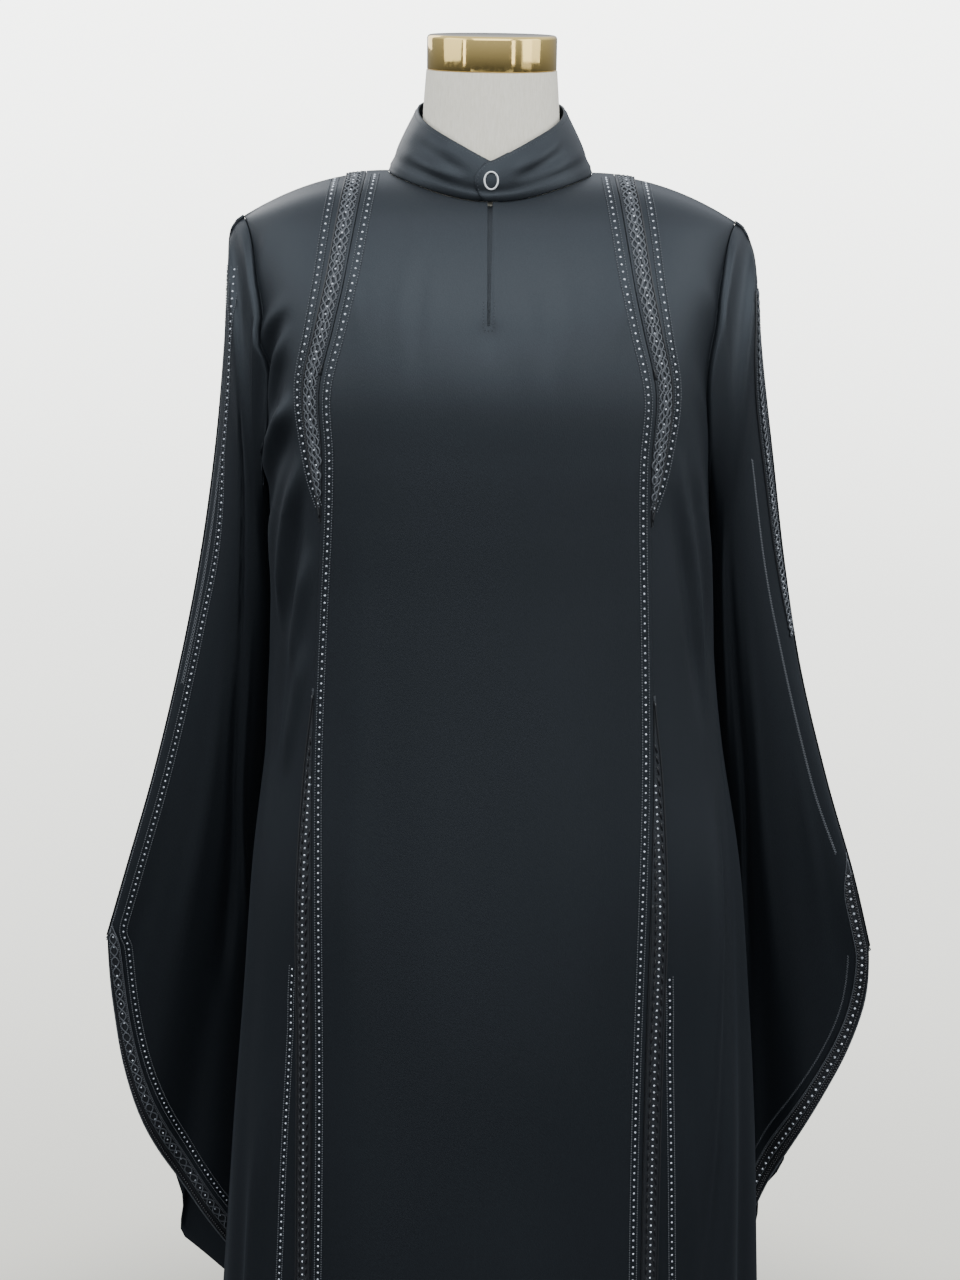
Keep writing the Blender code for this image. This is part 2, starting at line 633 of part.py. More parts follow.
def sleeve_grid(side, front, steps_of, rows, thick=CLOTH, out=0.0):
    """Outer and inner points of a stretch of sleeve."""
    facing = -1.0 if front else 1.0
    sign = side_sign(side)
    outer, inner = [], []
    for i in range(len(steps_of(rows[0]))):
        face, back = [], []
        for row in rows:
            step = steps_of(row)[i]
            point = sleeve_point(side, front, step, row)
            low, high = max(step - 0.04, 0.0), min(step + 0.04, float(LAST))
            along = sleeve_point(side, front, high, row) - sleeve_point(side, front, low, row)
            if row in (ARMHOLE_ROWS[0], ARMHOLE_ROWS[-1]):
                lean = rim_lean(step)
                flat = unit(np.array([along[2], 0.0, -along[0]])) * sign
                if row == ARMHOLE_ROWS[-1]:
                    flat = -flat
                normal = flat * math.cos(lean) + np.array([0.0, facing, 0.0]) * math.sin(lean)
            else:
                index = ARMHOLE_ROWS.index(row)
                before, after = ARMHOLE_ROWS[index - 1], ARMHOLE_ROWS[index + 1]
                across = (sleeve_point(side, front, step, after)
                          - sleeve_point(side, front, step, before))
                normal = unit(np.cross(across, along)) * facing * sign
            face.append(point + normal * out)
            back.append(point + normal * (out - thick))
        outer.append(face)
        inner.append(back)
    return outer, inner


def make_sleeve(side, cloth, braid):
    """Front and back piece, the braided border of the front cuff and the overarm braid."""
    ends = {row: cuff_step(side, row) for row in ARMHOLE_ROWS}
    front_steps = lambda row: SLEEVE_STEPS + [ends[row] - 0.004]
    back_steps = lambda row: SLEEVE_STEPS + [float(LAST)]
    outer, inner = sleeve_grid(side, True, front_steps, ARMHOLE_ROWS)
    wall(f"sleeve_front_{side}", outer, inner, cloth)
    outer, inner = sleeve_grid(side, False, back_steps, ARMHOLE_ROWS)
    wall(f"sleeve_back_{side}", outer, inner, cloth)
    outer, inner = sleeve_grid(side, True, lambda row: [ends[row], float(LAST)], ARMHOLE_ROWS)
    wall(f"cuff_braid_{side}", outer, inner, braid)
    outer, inner = sleeve_grid(side, False, lambda row: SLEEVE_STEPS[4:] + [float(LAST)],
                               ARMHOLE_ROWS[-2:], thick=BRAID_THICK, out=SEAM + BRAID_THICK)
    wall(f"overarm_braid_{side}", outer, inner, braid)


def collar_point(angle, height, tuck=0.0):
    """Point on the collar's outer face. angle in degrees from centre front, height 0 to 1."""
    swing = math.radians(angle)
    front = math.cos(swing) >= 0
    x = NECK_HALF_WIDTH * math.sin(swing)
    row = neck_row(x, front)
    around = abs((angle + 180) % 360 - 180)
    over_panel = SEAM * 2 + (CLOTH + SEAM) * (1 - smoothstep(90.0, 112.0, around))
    base = body_point(turn_at(x, row, front), row, over_panel)
    if abs(x) > NECK_HALF_WIDTH - 1e-5:
        base[1] = 0.0
    knots = [line.angle for line in COLLAR_TOP]
    top_x = curve(knots, [line.x_reach for line in COLLAR_TOP], around)
    top_y = curve(knots, [line.y_reach for line in COLLAR_TOP], around)
    top_z = curve(knots, [line.height for line in COLLAR_TOP], around)
    top = np.array([top_x * math.sin(swing), -top_y * math.cos(swing), top_z])
    belly = 0.002 * math.sin(math.pi * height)
    outward = unit(np.array([math.sin(swing) / NECK_HALF_WIDTH, -math.cos(swing) / NECK_FRONT, 0.0]))
    return base + (top - base) * height + outward * (belly - tuck), outward


def collar_angles():
    """Angles from the lapping end right round to the end beneath."""
    front = [angle for angle in NECK_ANGLES if angle > 10]
    back = [180 - angle for angle in reversed(NECK_ANGLES) if abs(angle) < 90]
    left = [360 + angle for angle in NECK_ANGLES if angle < -10]
    return ([COLLAR_START, COLLAR_END / 2, COLLAR_END] + front + back + left
            + [349.0, 360.0, 360.0 + COLLAR_END / 2, 360.0 + COLLAR_END])


def make_collar(material):
    heights = [0.0, 0.2, 0.45, 0.75, 1.0]
    angles = collar_angles()
    outer, inner = [], []
    for height in heights:
        face, back = [], []
        for number, angle in enumerate(angles):
            place = angle
            if number == 0:
                place = angle - COLLAR_ROUND * math.sin(math.pi * min(height * 0.92 + 0.08, 1.0))
            tuck = (COLLAR_THICK + SEAM * 3) * smoothstep(314.0, 350.0, angle) + SEAM
            point, outward = collar_point(place, height, tuck)
            face.append(point)
            back.append(point - outward * COLLAR_THICK)
        outer.append(face)
        inner.append(back)
    wall("collar", outer, inner, material)


def make_snap_ring(material):
    """Open ring of the snap, lying on the collar's lapped end."""
    ring_half_width, ring_half_height, wire = 0.0055, 0.0070, 0.0008
    centre, outward = collar_point(SNAP_ANGLE, SNAP_HEIGHT, -(wire - SEAM))
    lower, _ = collar_point(SNAP_ANGLE, SNAP_HEIGHT - 0.2, -(wire - SEAM))
    up = unit(centre - lower)
    out = unit(np.cross(np.array([1.0, 0.0, 0.0]), up))
    side = np.cross(up, out)
    sides, around = 8, 28
    mesh = bmesh.new()
    rings = []
    for step in range(around):
        angle = 2 * math.pi * step / around
        radial = side * math.cos(angle) + up * math.sin(angle)
        spot = centre + side * ring_half_width * math.cos(angle) + up * ring_half_height * math.sin(angle)
        ring = []
        for turn in range(sides):
            roll = 2 * math.pi * turn / sides
            ring.append(mesh.verts.new(spot + (radial * math.cos(roll) + out * math.sin(roll)) * wire))
        rings.append(ring)
    for first, second in zip(rings, rings[1:] + rings[:1]):
        for turn in range(sides):
            after = (turn + 1) % sides
            mesh.faces.new((first[turn], first[after], second[after], second[turn]))
    finish("snap_ring", mesh, material)


def lathe(name, profile, material, sides=48):
    """Turned solid from a profile of radius and height, closed on its axis."""
    mesh = bmesh.new()
    rings = []
    for radius, height in profile:
        rings.append([mesh.verts.new((radius * math.cos(2 * math.pi * k / sides),
                                      radius * math.sin(2 * math.pi * k / sides), height))
                      for k in range(sides)])
    for low, high in zip(rings, rings[1:]):
        for k in range(sides):
            after = (k + 1) % sides
            mesh.faces.new((low[k], low[after], high[after], high[k]))
    mesh.faces.new(list(reversed(rings[0])))
    mesh.faces.new(rings[-1])
    finish(name, mesh, material)


def make_form(linen, gold, metal):
    """Dress form, neck cap, pole and base."""
    mesh = bmesh.new()
    rings = []
    for line in FORM:
        ring = []
        for k in range(FORM_SIDES):
            angle = 2 * math.pi * k / FORM_SIDES
            across, ahead = math.cos(angle), math.sin(angle)
            x = line.half * math.copysign(abs(across) ** (2 / line.corner), across)
            deep = line.back if ahead > 0 else line.front
            y = deep * math.copysign(abs(ahead) ** (2 / line.corner), ahead)
            ring.append(mesh.verts.new((x, y, line.height)))
        rings.append(ring)
    for low, high in zip(rings, rings[1:]):
        for k in range(FORM_SIDES):
            after = (k + 1) % FORM_SIDES
            mesh.faces.new((low[k], low[after], high[after], high[k]))
    mesh.faces.new(list(reversed(rings[0])))
    mesh.faces.new(rings[-1])
    finish("form_torso", mesh, linen)
    edge = 0.003
    lathe("neck_cap", [(CAP_RADIUS, CAP_BOTTOM), (CAP_RADIUS, CAP_TOP - edge),
                       (CAP_RADIUS - edge * 0.3, CAP_TOP - edge * 0.3), (CAP_RADIUS - edge, CAP_TOP)], gold)
    form_bottom = FORM[0].height - SEAM
    base_top = BASE_THICK + SEAM
    lathe("stand_pole", [(0.030, base_top), (0.030, base_top + 0.008), (0.018, base_top + 0.020),
                         (POLE_RADIUS, base_top + 0.024), (POLE_RADIUS, form_bottom - 0.024),
                         (0.018, form_bottom - 0.020), (0.035, form_bottom - 0.006),
                         (0.035, form_bottom)], metal, sides=24)
    lathe("stand_base", [(BASE_RADIUS - 0.001, 0.0), (BASE_RADIUS, 0.001), (BASE_RADIUS, 0.009),
                         (BASE_RADIUS - 0.003, 0.0125), (BASE_RADIUS - 0.008, BASE_THICK)], metal)


def main():
    for item in list(bpy.data.objects):
        bpy.data.objects.remove(item)
    cloth = make_material("black_crepe", (0.012, 0.013, 0.015), 0.55)
    braid = make_material("black_braid", (0.010, 0.010, 0.011), 0.40)
    linen = make_material("linen", (0.70, 0.66, 0.58), 0.85)
    gold = make_material("polished_gold", (0.83, 0.62, 0.24), 0.10, 1.0)
    steel = make_material("steel_ring", (0.70, 0.70, 0.68), 0.25, 1.0)
    black_metal = make_material("black_metal", (0.02, 0.02, 0.02), 0.45)
    make_form(linen, gold, black_metal)
    make_centre_panel(cloth)
    make_back_panel(cloth)
    make_collar(cloth)
    make_snap_ring(steel)
    for side in ("left", "right"):
        make_side_front(side, cloth)
        make_body_braids(side, braid)
        make_sleeve(side, cloth, braid)


main()
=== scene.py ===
"""Looks of the abaya on its dress form: fine cloth, trims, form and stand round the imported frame.

Metres, +Z up, front towards -Y. Left is -X and right is +X, as seen from the front.
The tables of the body, the collar and the form are the ones of the part's source. The sleeves lie closer
to the body here, and the slit and the lobes of the back sleeve pieces have sizes of their own.
"""

import math
from collections import namedtuple
from functools import lru_cache

import bpy
import numpy as np
from mathutils import Matrix
from mathutils.kdtree import KDTree


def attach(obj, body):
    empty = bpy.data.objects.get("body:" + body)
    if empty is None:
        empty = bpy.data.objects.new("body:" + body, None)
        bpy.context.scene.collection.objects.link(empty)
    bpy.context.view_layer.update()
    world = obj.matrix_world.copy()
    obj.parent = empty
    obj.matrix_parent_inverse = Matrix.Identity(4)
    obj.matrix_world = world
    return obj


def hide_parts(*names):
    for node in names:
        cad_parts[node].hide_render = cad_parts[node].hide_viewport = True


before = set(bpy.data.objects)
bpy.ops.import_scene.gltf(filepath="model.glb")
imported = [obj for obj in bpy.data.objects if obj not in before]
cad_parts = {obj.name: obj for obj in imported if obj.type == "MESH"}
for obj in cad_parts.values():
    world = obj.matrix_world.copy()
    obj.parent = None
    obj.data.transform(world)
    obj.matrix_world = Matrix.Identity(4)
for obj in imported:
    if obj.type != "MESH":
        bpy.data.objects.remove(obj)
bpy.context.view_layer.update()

SIDES = ("left", "right")

# Driving sizes
CLOTH = 0.0015            # thickness of a cloth wall
SEAM = 0.0003             # space between two pieces
LAP = 0.008               # how far the side fronts reach under the centre panel
BRAID_WIDTH = 0.017       # braid on the body
BRAID_THICK = 0.0015
SLEEVE_BRAID_WIDTH = 0.015
COLLAR_THICK = 0.0020
NECK_HALF_WIDTH = 0.0855  # neck seam, seen from above
NECK_FRONT = 0.066
NECK_BACK = 0.058
SHOULDER_FALL = 0.038     # the shoulder tip is this much lower than the neck point
SHOULDER_TIP = 0.208
SLIT_LENGTH = 0.092
SLIT_WIDTH = 0.0026
CAP_RADIUS = 0.054
CAP_TOP = 1.575
CAP_BOTTOM = 1.5468
CAP_TOP_ROUND = 0.0030
CAP_LOW_ROUND = 0.0008
POLE_RADIUS = 0.0125
BASE_RADIUS = 0.16
BASE_THICK = 0.014
BASE_SIDE = 0.009         # height at which the base's upper edge begins to round over
BASE_ROUND = 0.008
# Profiles of the pole's two ends: radius and distance from the end
POLE_FOOT = [(0.030, 0.0), (0.030, 0.006), (0.029, 0.008), (0.019, 0.019), (0.018, 0.020),
             (POLE_RADIUS, 0.024)]
POLE_HEAD = [(POLE_RADIUS, 0.024), (0.018, 0.020), (0.035, 0.006), (0.035, 0.0)]

# Body sections from the hem up to the shoulder seam. level: height before the shoulders fall away;
# left, right, front, back: reach from the axis; corner: 2 is an ellipse, more is squarer;
# princess: where the centre panel's edge lies; braid: how far the braid reaches beyond that edge.
Section = namedtuple("Section", "level left right front back corner princess braid")
BODY = [Section(*row) for row in (
    (0.060, 0.262, 0.283, 0.222, 0.208, 2.3, 0.1520, 0.017),
    (0.250, 0.249, 0.273, 0.205, 0.192, 2.3, 0.1490, 0.017),
    (0.450, 0.235, 0.263, 0.189, 0.175, 2.3, 0.1470, 0.017),
    (0.600, 0.2255, 0.2555, 0.177, 0.162, 2.4, 0.1455, 0.017),
    (0.720, 0.217, 0.247, 0.169, 0.153, 2.4, 0.1450, 0.017),
    (0.850, 0.2075, 0.2345, 0.159, 0.141, 2.5, 0.1455, 0.017),
    (0.960, 0.194, 0.215, 0.151, 0.131, 2.5, 0.1450, 0.010),
    (1.040, 0.188, 0.2045, 0.146, 0.124, 2.5, 0.1425, 0.002),
    (1.120, 0.1865, 0.199, 0.1425, 0.120, 2.5, 0.1390, 0.002),
    (1.185, 0.1885, 0.194, 0.1415, 0.119, 2.5, 0.1360, 0.002),
    (1.240, 0.191, 0.193, 0.1405, 0.121, 2.5, 0.1350, 0.014),
    (1.295, 0.193, 0.193, 0.137, 0.123, 2.5, 0.1370, 0.017),
    (1.345, 0.197, 0.197, 0.124, 0.121, 2.5, 0.1260, 0.017),
    (1.385, 0.201, 0.201, 0.107, 0.111, 2.5, 0.1170, 0.017),
    (1.420, 0.204, 0.204, 0.086, 0.095, 2.4, 0.1110, 0.017),
    (1.443, 0.206, 0.206, 0.0665, 0.076, 2.3, 0.1070, 0.017),
    (1.456, 0.2075, 0.2075, 0.042, 0.048, 2.2, 0.1045, 0.017),
    (1.462, 0.208, 0.208, 0.0, 0.0, 2.2, 0.1040, 0.017),
)]
UNDERARM = 9              # row of the body table at the armhole's lowest point
SHOULDER = len(BODY) - 1  # row at the shoulder seam

# Armhole edge: at which share of the quarter turn from centre front or back to the side it lies.
Armhole = namedtuple("Armhole", "row front back")
ARMHOLE = [Armhole(*row) for row in (
    (9.0, 1.000, 1.000),
    (9.15, 0.930, 0.940),
    (9.5, 0.865, 0.890),
    (10.0, 0.815, 0.855),
    (11.0, 0.775, 0.830),
    (12.0, 0.775, 0.830),
    (13.0, 0.795, 0.850),
    (14.0, 0.830, 0.880),
    (15.0, 0.875, 0.915),
    (16.0, 0.930, 0.955),
    (17.0, 1.000, 1.000),
)]

# Large folds. turn: 0 centre front, 1 side seam, 2 centre back (minus on the left), at the top and
# the bottom of the fold; top and bottom: body rows; spread: half width in metres; rise: height in
# metres at its fullest, minus for a valley.
Fold = namedtuple("Fold", "turn_top turn_bottom top bottom spread rise")
FOLDS = [Fold(*row) for row in (
    (-0.78, -0.80, 7.5, -1.0, 0.030, 0.007),
    (-0.66, -0.64, 6.0, -1.0, 0.022, 0.008),
    (-0.93, -0.96, 5.0, -1.0, 0.028, 0.006),
    (-0.62, -0.86, 11.5, 7.0, 0.020, 0.004),
    (-0.24, -0.27, 4.0, -1.0, 0.045, 0.005),
    (0.10, 0.12, 3.5, -1.0, 0.050, 0.005),
    (0.68, 0.64, 6.5, -1.0, 0.024, 0.008),
    (0.82, 0.76, 6.5, -1.0, 0.018, -0.007),
    (0.93, 0.90, 6.0, -1.0, 0.026, 0.007),
    (0.62, 0.84, 11.5, 7.0, 0.020, 0.004),
    (-1.46, -1.44, 8.0, -1.0, 0.030, 0.010),
    (-1.66, -1.64, 9.5, -1.0, 0.026, 0.010),
    (-1.86, -1.84, 9.0, -1.0, 0.030, 0.013),
    (1.95, 1.96, 8.5, -1.0, 0.030, 0.012),
    (1.72, 1.70, 9.5, -1.0, 0.030, 0.012),
    (1.50, 1.48, 8.0, -1.0, 0.030, 0.010),
)]

# Sleeve sections from the shoulder down to the cuff. outer_x, outer_z: overarm edge; inner_z: height
# of the underarm edge; outer_y, inner_y: how far back those edges hang; depth: half the space
# between front and back piece; bulge: how far the section bows out and down; clear: space to the body.
SleeveRow = namedtuple("SleeveRow", "outer_x outer_z inner_z outer_y inner_y depth bulge clear")
SLEEVES = {
    "left": [SleeveRow(*row) for row in (
        (0.2215, 1.385, 1.150, 0.002, 0.004, 0.050, 0.000, 0.0014),
        (0.2268, 1.305, 1.060, 0.004, 0.014, 0.040, 0.000, 0.0024),
        (0.2360, 1.220, 0.950, 0.008, 0.028, 0.033, 0.000, 0.0070),
        (0.2510, 1.125, 0.840, 0.012, 0.044, 0.028, 0.000, 0.0090),
        (0.2720, 1.025, 0.730, 0.016, 0.060, 0.025, 0.004, 0.0060),
        (0.2990, 0.918, 0.620, 0.020, 0.075, 0.023, 0.012, 0.0120),
        (0.3280, 0.820, 0.510, 0.024, 0.088, 0.022, 0.024, 0.0180),
        (0.3510, 0.743, 0.390, 0.028, 0.100, 0.022, 0.036, 0.0200),
    )],
    "right": [SleeveRow(*row) for row in (
        (0.2265, 1.385, 1.150, 0.002, 0.004, 0.050, 0.000, 0.0012),
        (0.2360, 1.305, 1.060, 0.004, 0.014, 0.040, 0.000, 0.0014),
        (0.2490, 1.220, 0.950, 0.008, 0.028, 0.033, 0.000, 0.0020),
        (0.2640, 1.125, 0.840, 0.012, 0.044, 0.028, 0.000, 0.0030),
        (0.2840, 1.025, 0.730, 0.016, 0.060, 0.025, 0.002, 0.0060),
        (0.3140, 0.918, 0.620, 0.020, 0.075, 0.023, 0.005, 0.0120),
        (0.3440, 0.825, 0.510, 0.024, 0.088, 0.022, 0.010, 0.0180),
        (0.3665, 0.742, 0.390, 0.028, 0.100, 0.022, 0.018, 0.0200),
    )],
}
BULGE_SKEW = {"left": 1.0, "right": 2.6}   # above 1 the cuff bows out near the overarm only
BACK_CUFF_DROP = 0.024                     # the back piece hangs this much lower near the underarm
CORNER_DROP = 0.038                        # the underarm corner of the cuff hangs this much lower
# Lobe of the back piece below the front one. share: 0 underarm edge, 1 overarm edge
Lobe = namedtuple("Lobe", "share out drop")
BACK_LOBE = {
    "left": [Lobe(*row) for row in (
        (0.0, 0.000, 0.018), (0.08, 0.000, 0.0325), (0.12, 0.007, 0.030),
        (0.16, 0.013, 0.029), (0.20, 0.018, 0.030), (0.24, 0.0145, 0.031),
        (0.28, 0.002, 0.0295), (0.32, -0.007, 0.026), (0.36, -0.006, 0.013),
        (0.42, -0.0015, 0.004), (0.50, 0.0, 0.0), (1.0, 0.0, 0.0),
    )],
    "right": [Lobe(*row) for row in (
        (0.0, 0.000, 0.000), (0.08, 0.004, 0.004), (0.12, 0.007, 0.005),
        (0.16, 0.008, 0.004), (0.20, 0.005, 0.002), (0.24, -0.001, -0.002),
        (0.28, -0.001, -0.003), (0.32, 0.003, 0.001), (0.36, 0.005, 0.000),
        (0.42, -0.002, 0.007), (0.50, 0.0, 0.0), (1.0, 0.0, 0.0),
    )],
}
LAST = 8                                   # number of the last sleeve row, at the cuff
# Lines between the armhole and the first row. push: away from the body; lift: up near the underarm;
# fall: down near the shoulder
HeadLine = namedtuple("HeadLine", "step push lift fall")
SLEEVE_HEAD = [
    HeadLine(0.15, 0.0030, 0.0030, 0.007),
    HeadLine(0.35, 0.0080, 0.0015, 0.020),
]
HEAD_SWELL = 0.003                         # how much the head bows to the front and the back
HEAD_CALM = 0.45                           # share from the underarm edge over which push and lift grow
HEAD_LEAST = 0.25                          # share of the push that is left at the underarm edge
TIP_FROM = 0.7                             # share from which the sleeve is fuller at the shoulder's tip
CUFF_FROM = 6.0                            # row from which the cuff's own forms grow
BACK_DROP_FROM = 5.0                       # row from which the back piece drops
BACK_DROP_OUT = 0.35                       # how far it moves out for each metre that it drops
BLUNT = 0.35                               # power of the section's depth at the shoulder; less is blunter
BLUNT_MORE = 0.35                          # what it gains between the rows of BLUNT_ROWS
BLUNT_ROWS = (1.0, 4.0)
SHOULDER_PUSH = 0.0030                     # how much fuller the sleeve is at the shoulder's tip
SHOULDER_RISE = 0.36                       # and the share by which it falls less there
CORNER_CUT = 0.058                         # rows by which the overarm corner of the cuff is rounded off
CORNER_FROM = 0.62                         # share of the cuff's width where the rounding begins
SLEEVE_SHARES = 0.5 - 0.5 * np.cos(np.pi * np.arange(45) / 44)   # closer together near both edges

# Seam allowances inside the armholes, along the body's cloth and down the sleeve
ALLOWANCE = 0.006                          # their reach on the body
ALLOWANCE_STEP = 0.15                      # and on the sleeve, in rows of its table
ALLOWANCE_CLOTH = 0.0010                   # their thickness
ALLOWANCE_SPACE = 0.0011                   # space between them and the cloth
ALLOWANCE_LOW = 0.15                       # rows of the body table that they stop short of the underarm
ALLOWANCE_HIGH = 0.60                      # and of the shoulder seam

# Long soft folds of the sleeves. across: 0 underarm edge, 1 overarm edge; start, end: sleeve rows.
SleeveFold = namedtuple("SleeveFold", "across start end spread rise")
SLEEVE_FOLDS = [SleeveFold(*row) for row in (
    (0.30, 2.0, 9.5, 0.085, -0.006),
    (0.52, 3.0, 9.5, 0.110, 0.005),
    (0.80, 4.0, 9.5, 0.080, -0.004),
)]

# Collar: height of its top edge and its reach there, front, side and back.
CollarTop = namedtuple("CollarTop", "angle height x_reach y_reach")
COLLAR_TOP = [CollarTop(*row) for row in (
    (0.0, 1.4770, 0.0625, 0.0630),
    (45.0, 1.4990, 0.0625, 0.0630),
    (90.0, 1.5125, 0.0625, 0.0630),
    (135.0, 1.5200, 0.0690, 0.0650),
    (180.0, 1.5230, 0.0690, 0.0660),
)]
COLLAR_START = -1.5       # degrees from centre front where the lapping end starts at its top
COLLAR_ROUND = 8.5        # degrees by which its rounded end bows further out
COLLAR_END = 14.0         # degrees where the end beneath stops
COLLAR_STEP = (90.0, 112.0)    # degrees between which it comes down from the centre panel to the back
COLLAR_UNDER = (314.0, 350.0)  # degrees between which it moves in beneath the lapping end
COLLAR_BELLY = 0.002      # how far its side bows out
COLLAR_DEGREE = 0.00135   # metres round it for each degree
COLLAR_HEIGHT = 0.036
COLLAR_ROLLS = [(0.10, 0.05, 0.0007), (0.24, 0.07, -0.0006)]   # above the neck seam: height, spread, rise
COLLAR_SEAT = 0.022       # share of the collar's height that is turned in at the neck seam
SNAP_HEIGHT = 0.52        # share of the collar's height
SNAP_ANGLE = 0.5
SNAP_HALF_WIDTH = 0.0055
SNAP_HALF_HEIGHT = 0.0070
SNAP_WIRE = 0.0008        # radius of the ring's wire

# Dress form from its lower edge to the neck: height, half width, front, back, corner.
FormRow = namedtuple("FormRow", "height half front back corner")
FORM = [FormRow(*row) for row in (
    (0.828, 0.158, 0.104, 0.106, 2.2),
    (0.840, 0.164, 0.108, 0.112, 2.2),
    (0.900, 0.169, 0.112, 0.116, 2.2),
    (0.970, 0.160, 0.106, 0.112, 2.2),
    (1.030, 0.134, 0.096, 0.098, 2.2),
    (1.070, 0.122, 0.092, 0.088, 2.2),
    (1.120, 0.127, 0.100, 0.090, 2.2),
    (1.180, 0.144, 0.117, 0.098, 2.2),
    (1.240, 0.158, 0.130, 0.106, 2.2),
    (1.290, 0.167, 0.128, 0.110, 2.2),
    (1.335, 0.174, 0.114, 0.108, 2.2),
    (1.370, 0.178, 0.099, 0.101, 2.2),
    (1.400, 0.180, 0.083, 0.089, 2.1),
    (1.420, 0.178, 0.069, 0.075, 1.9),
    (1.436, 0.168, 0.058, 0.062, 1.6),
    (1.447, 0.146, 0.0565, 0.0560, 1.4),
    (1.4545, 0.115, 0.0558, 0.0545, 1.3),
    (1.4590, 0.0870, 0.0555, 0.0540, 1.45),
    (1.4670, 0.0690, 0.0553, 0.0540, 1.8),
    (1.4780, 0.0605, 0.0552, 0.0540, 2.0),
    (1.5000, 0.0578, 0.0550, 0.0545, 2.0),
    (1.5250, 0.0562, 0.0548, 0.0545, 2.0),
    (1.5465, 0.0545, 0.0545, 0.0545, 2.0),
)]

STEP = 0.002              # small step for slopes, in turns and metres
ROW_STEP = 0.01           # the same in body rows
BODY_ROWS_DENSE = np.linspace(0, SHOULDER, 1701)   # where a row is looked up by its height
SQUEEZE = 11.6            # body row above which columns are squeezed to end at the neck seam
BACK_CORNER = 2.2         # squareness of the back's sections
FALL_FROM = 9.5           # body row from which the shoulders fall away
FALL_POWER = 1.2          # and how late they do it
TURN_METRES = 0.30        # metres for a turn of 1 round the body, where creases are measured
SLEEVE_ACROSS = 0.30      # metres across the sleeve, where its creases are measured
SLEEVE_ROW = 0.125        # and metres for a row of the sleeve table
ARMHOLE_MIDDLE = (0.205, 1.305)   # x and height of the middle of the armhole
# Folds pressed beside the slit, as distance from it and rise, and the pinch below it
SLIT_FOLDS = [(0.0021, 0.0009), (-0.0021, 0.0005)]
SLIT_FOLD_SPREAD = 0.0014
SLIT_FOLD_EASE = 0.006
SLIT_FOLD_END = (1.45, 1.47)      # heights between which they fade at the neck
SLIT_COLUMNS = (0.0008, 0.0016, 0.0024, 0.0034, 0.0048)   # extra points of the cloth beside the slit
BLADE_RISE = 0.03                 # how far the slit's cutter stands above the neck seam
BLADE_REACH = 0.08                # and how far to the front and the back
SLIT_TOP = 1.4435                 # height of the neck seam at centre front
# Facing behind the slit
FACING_HALF_WIDTH = 0.009
FACING_THICK = 0.0008
FACING_DEPTH = 0.0026             # how far behind the body's cloth it lies
PINCH_RISE = -0.0007
PINCH_SPREAD = 0.004
PINCH_DROP = 0.008
PINCH_HEIGHT = 0.014

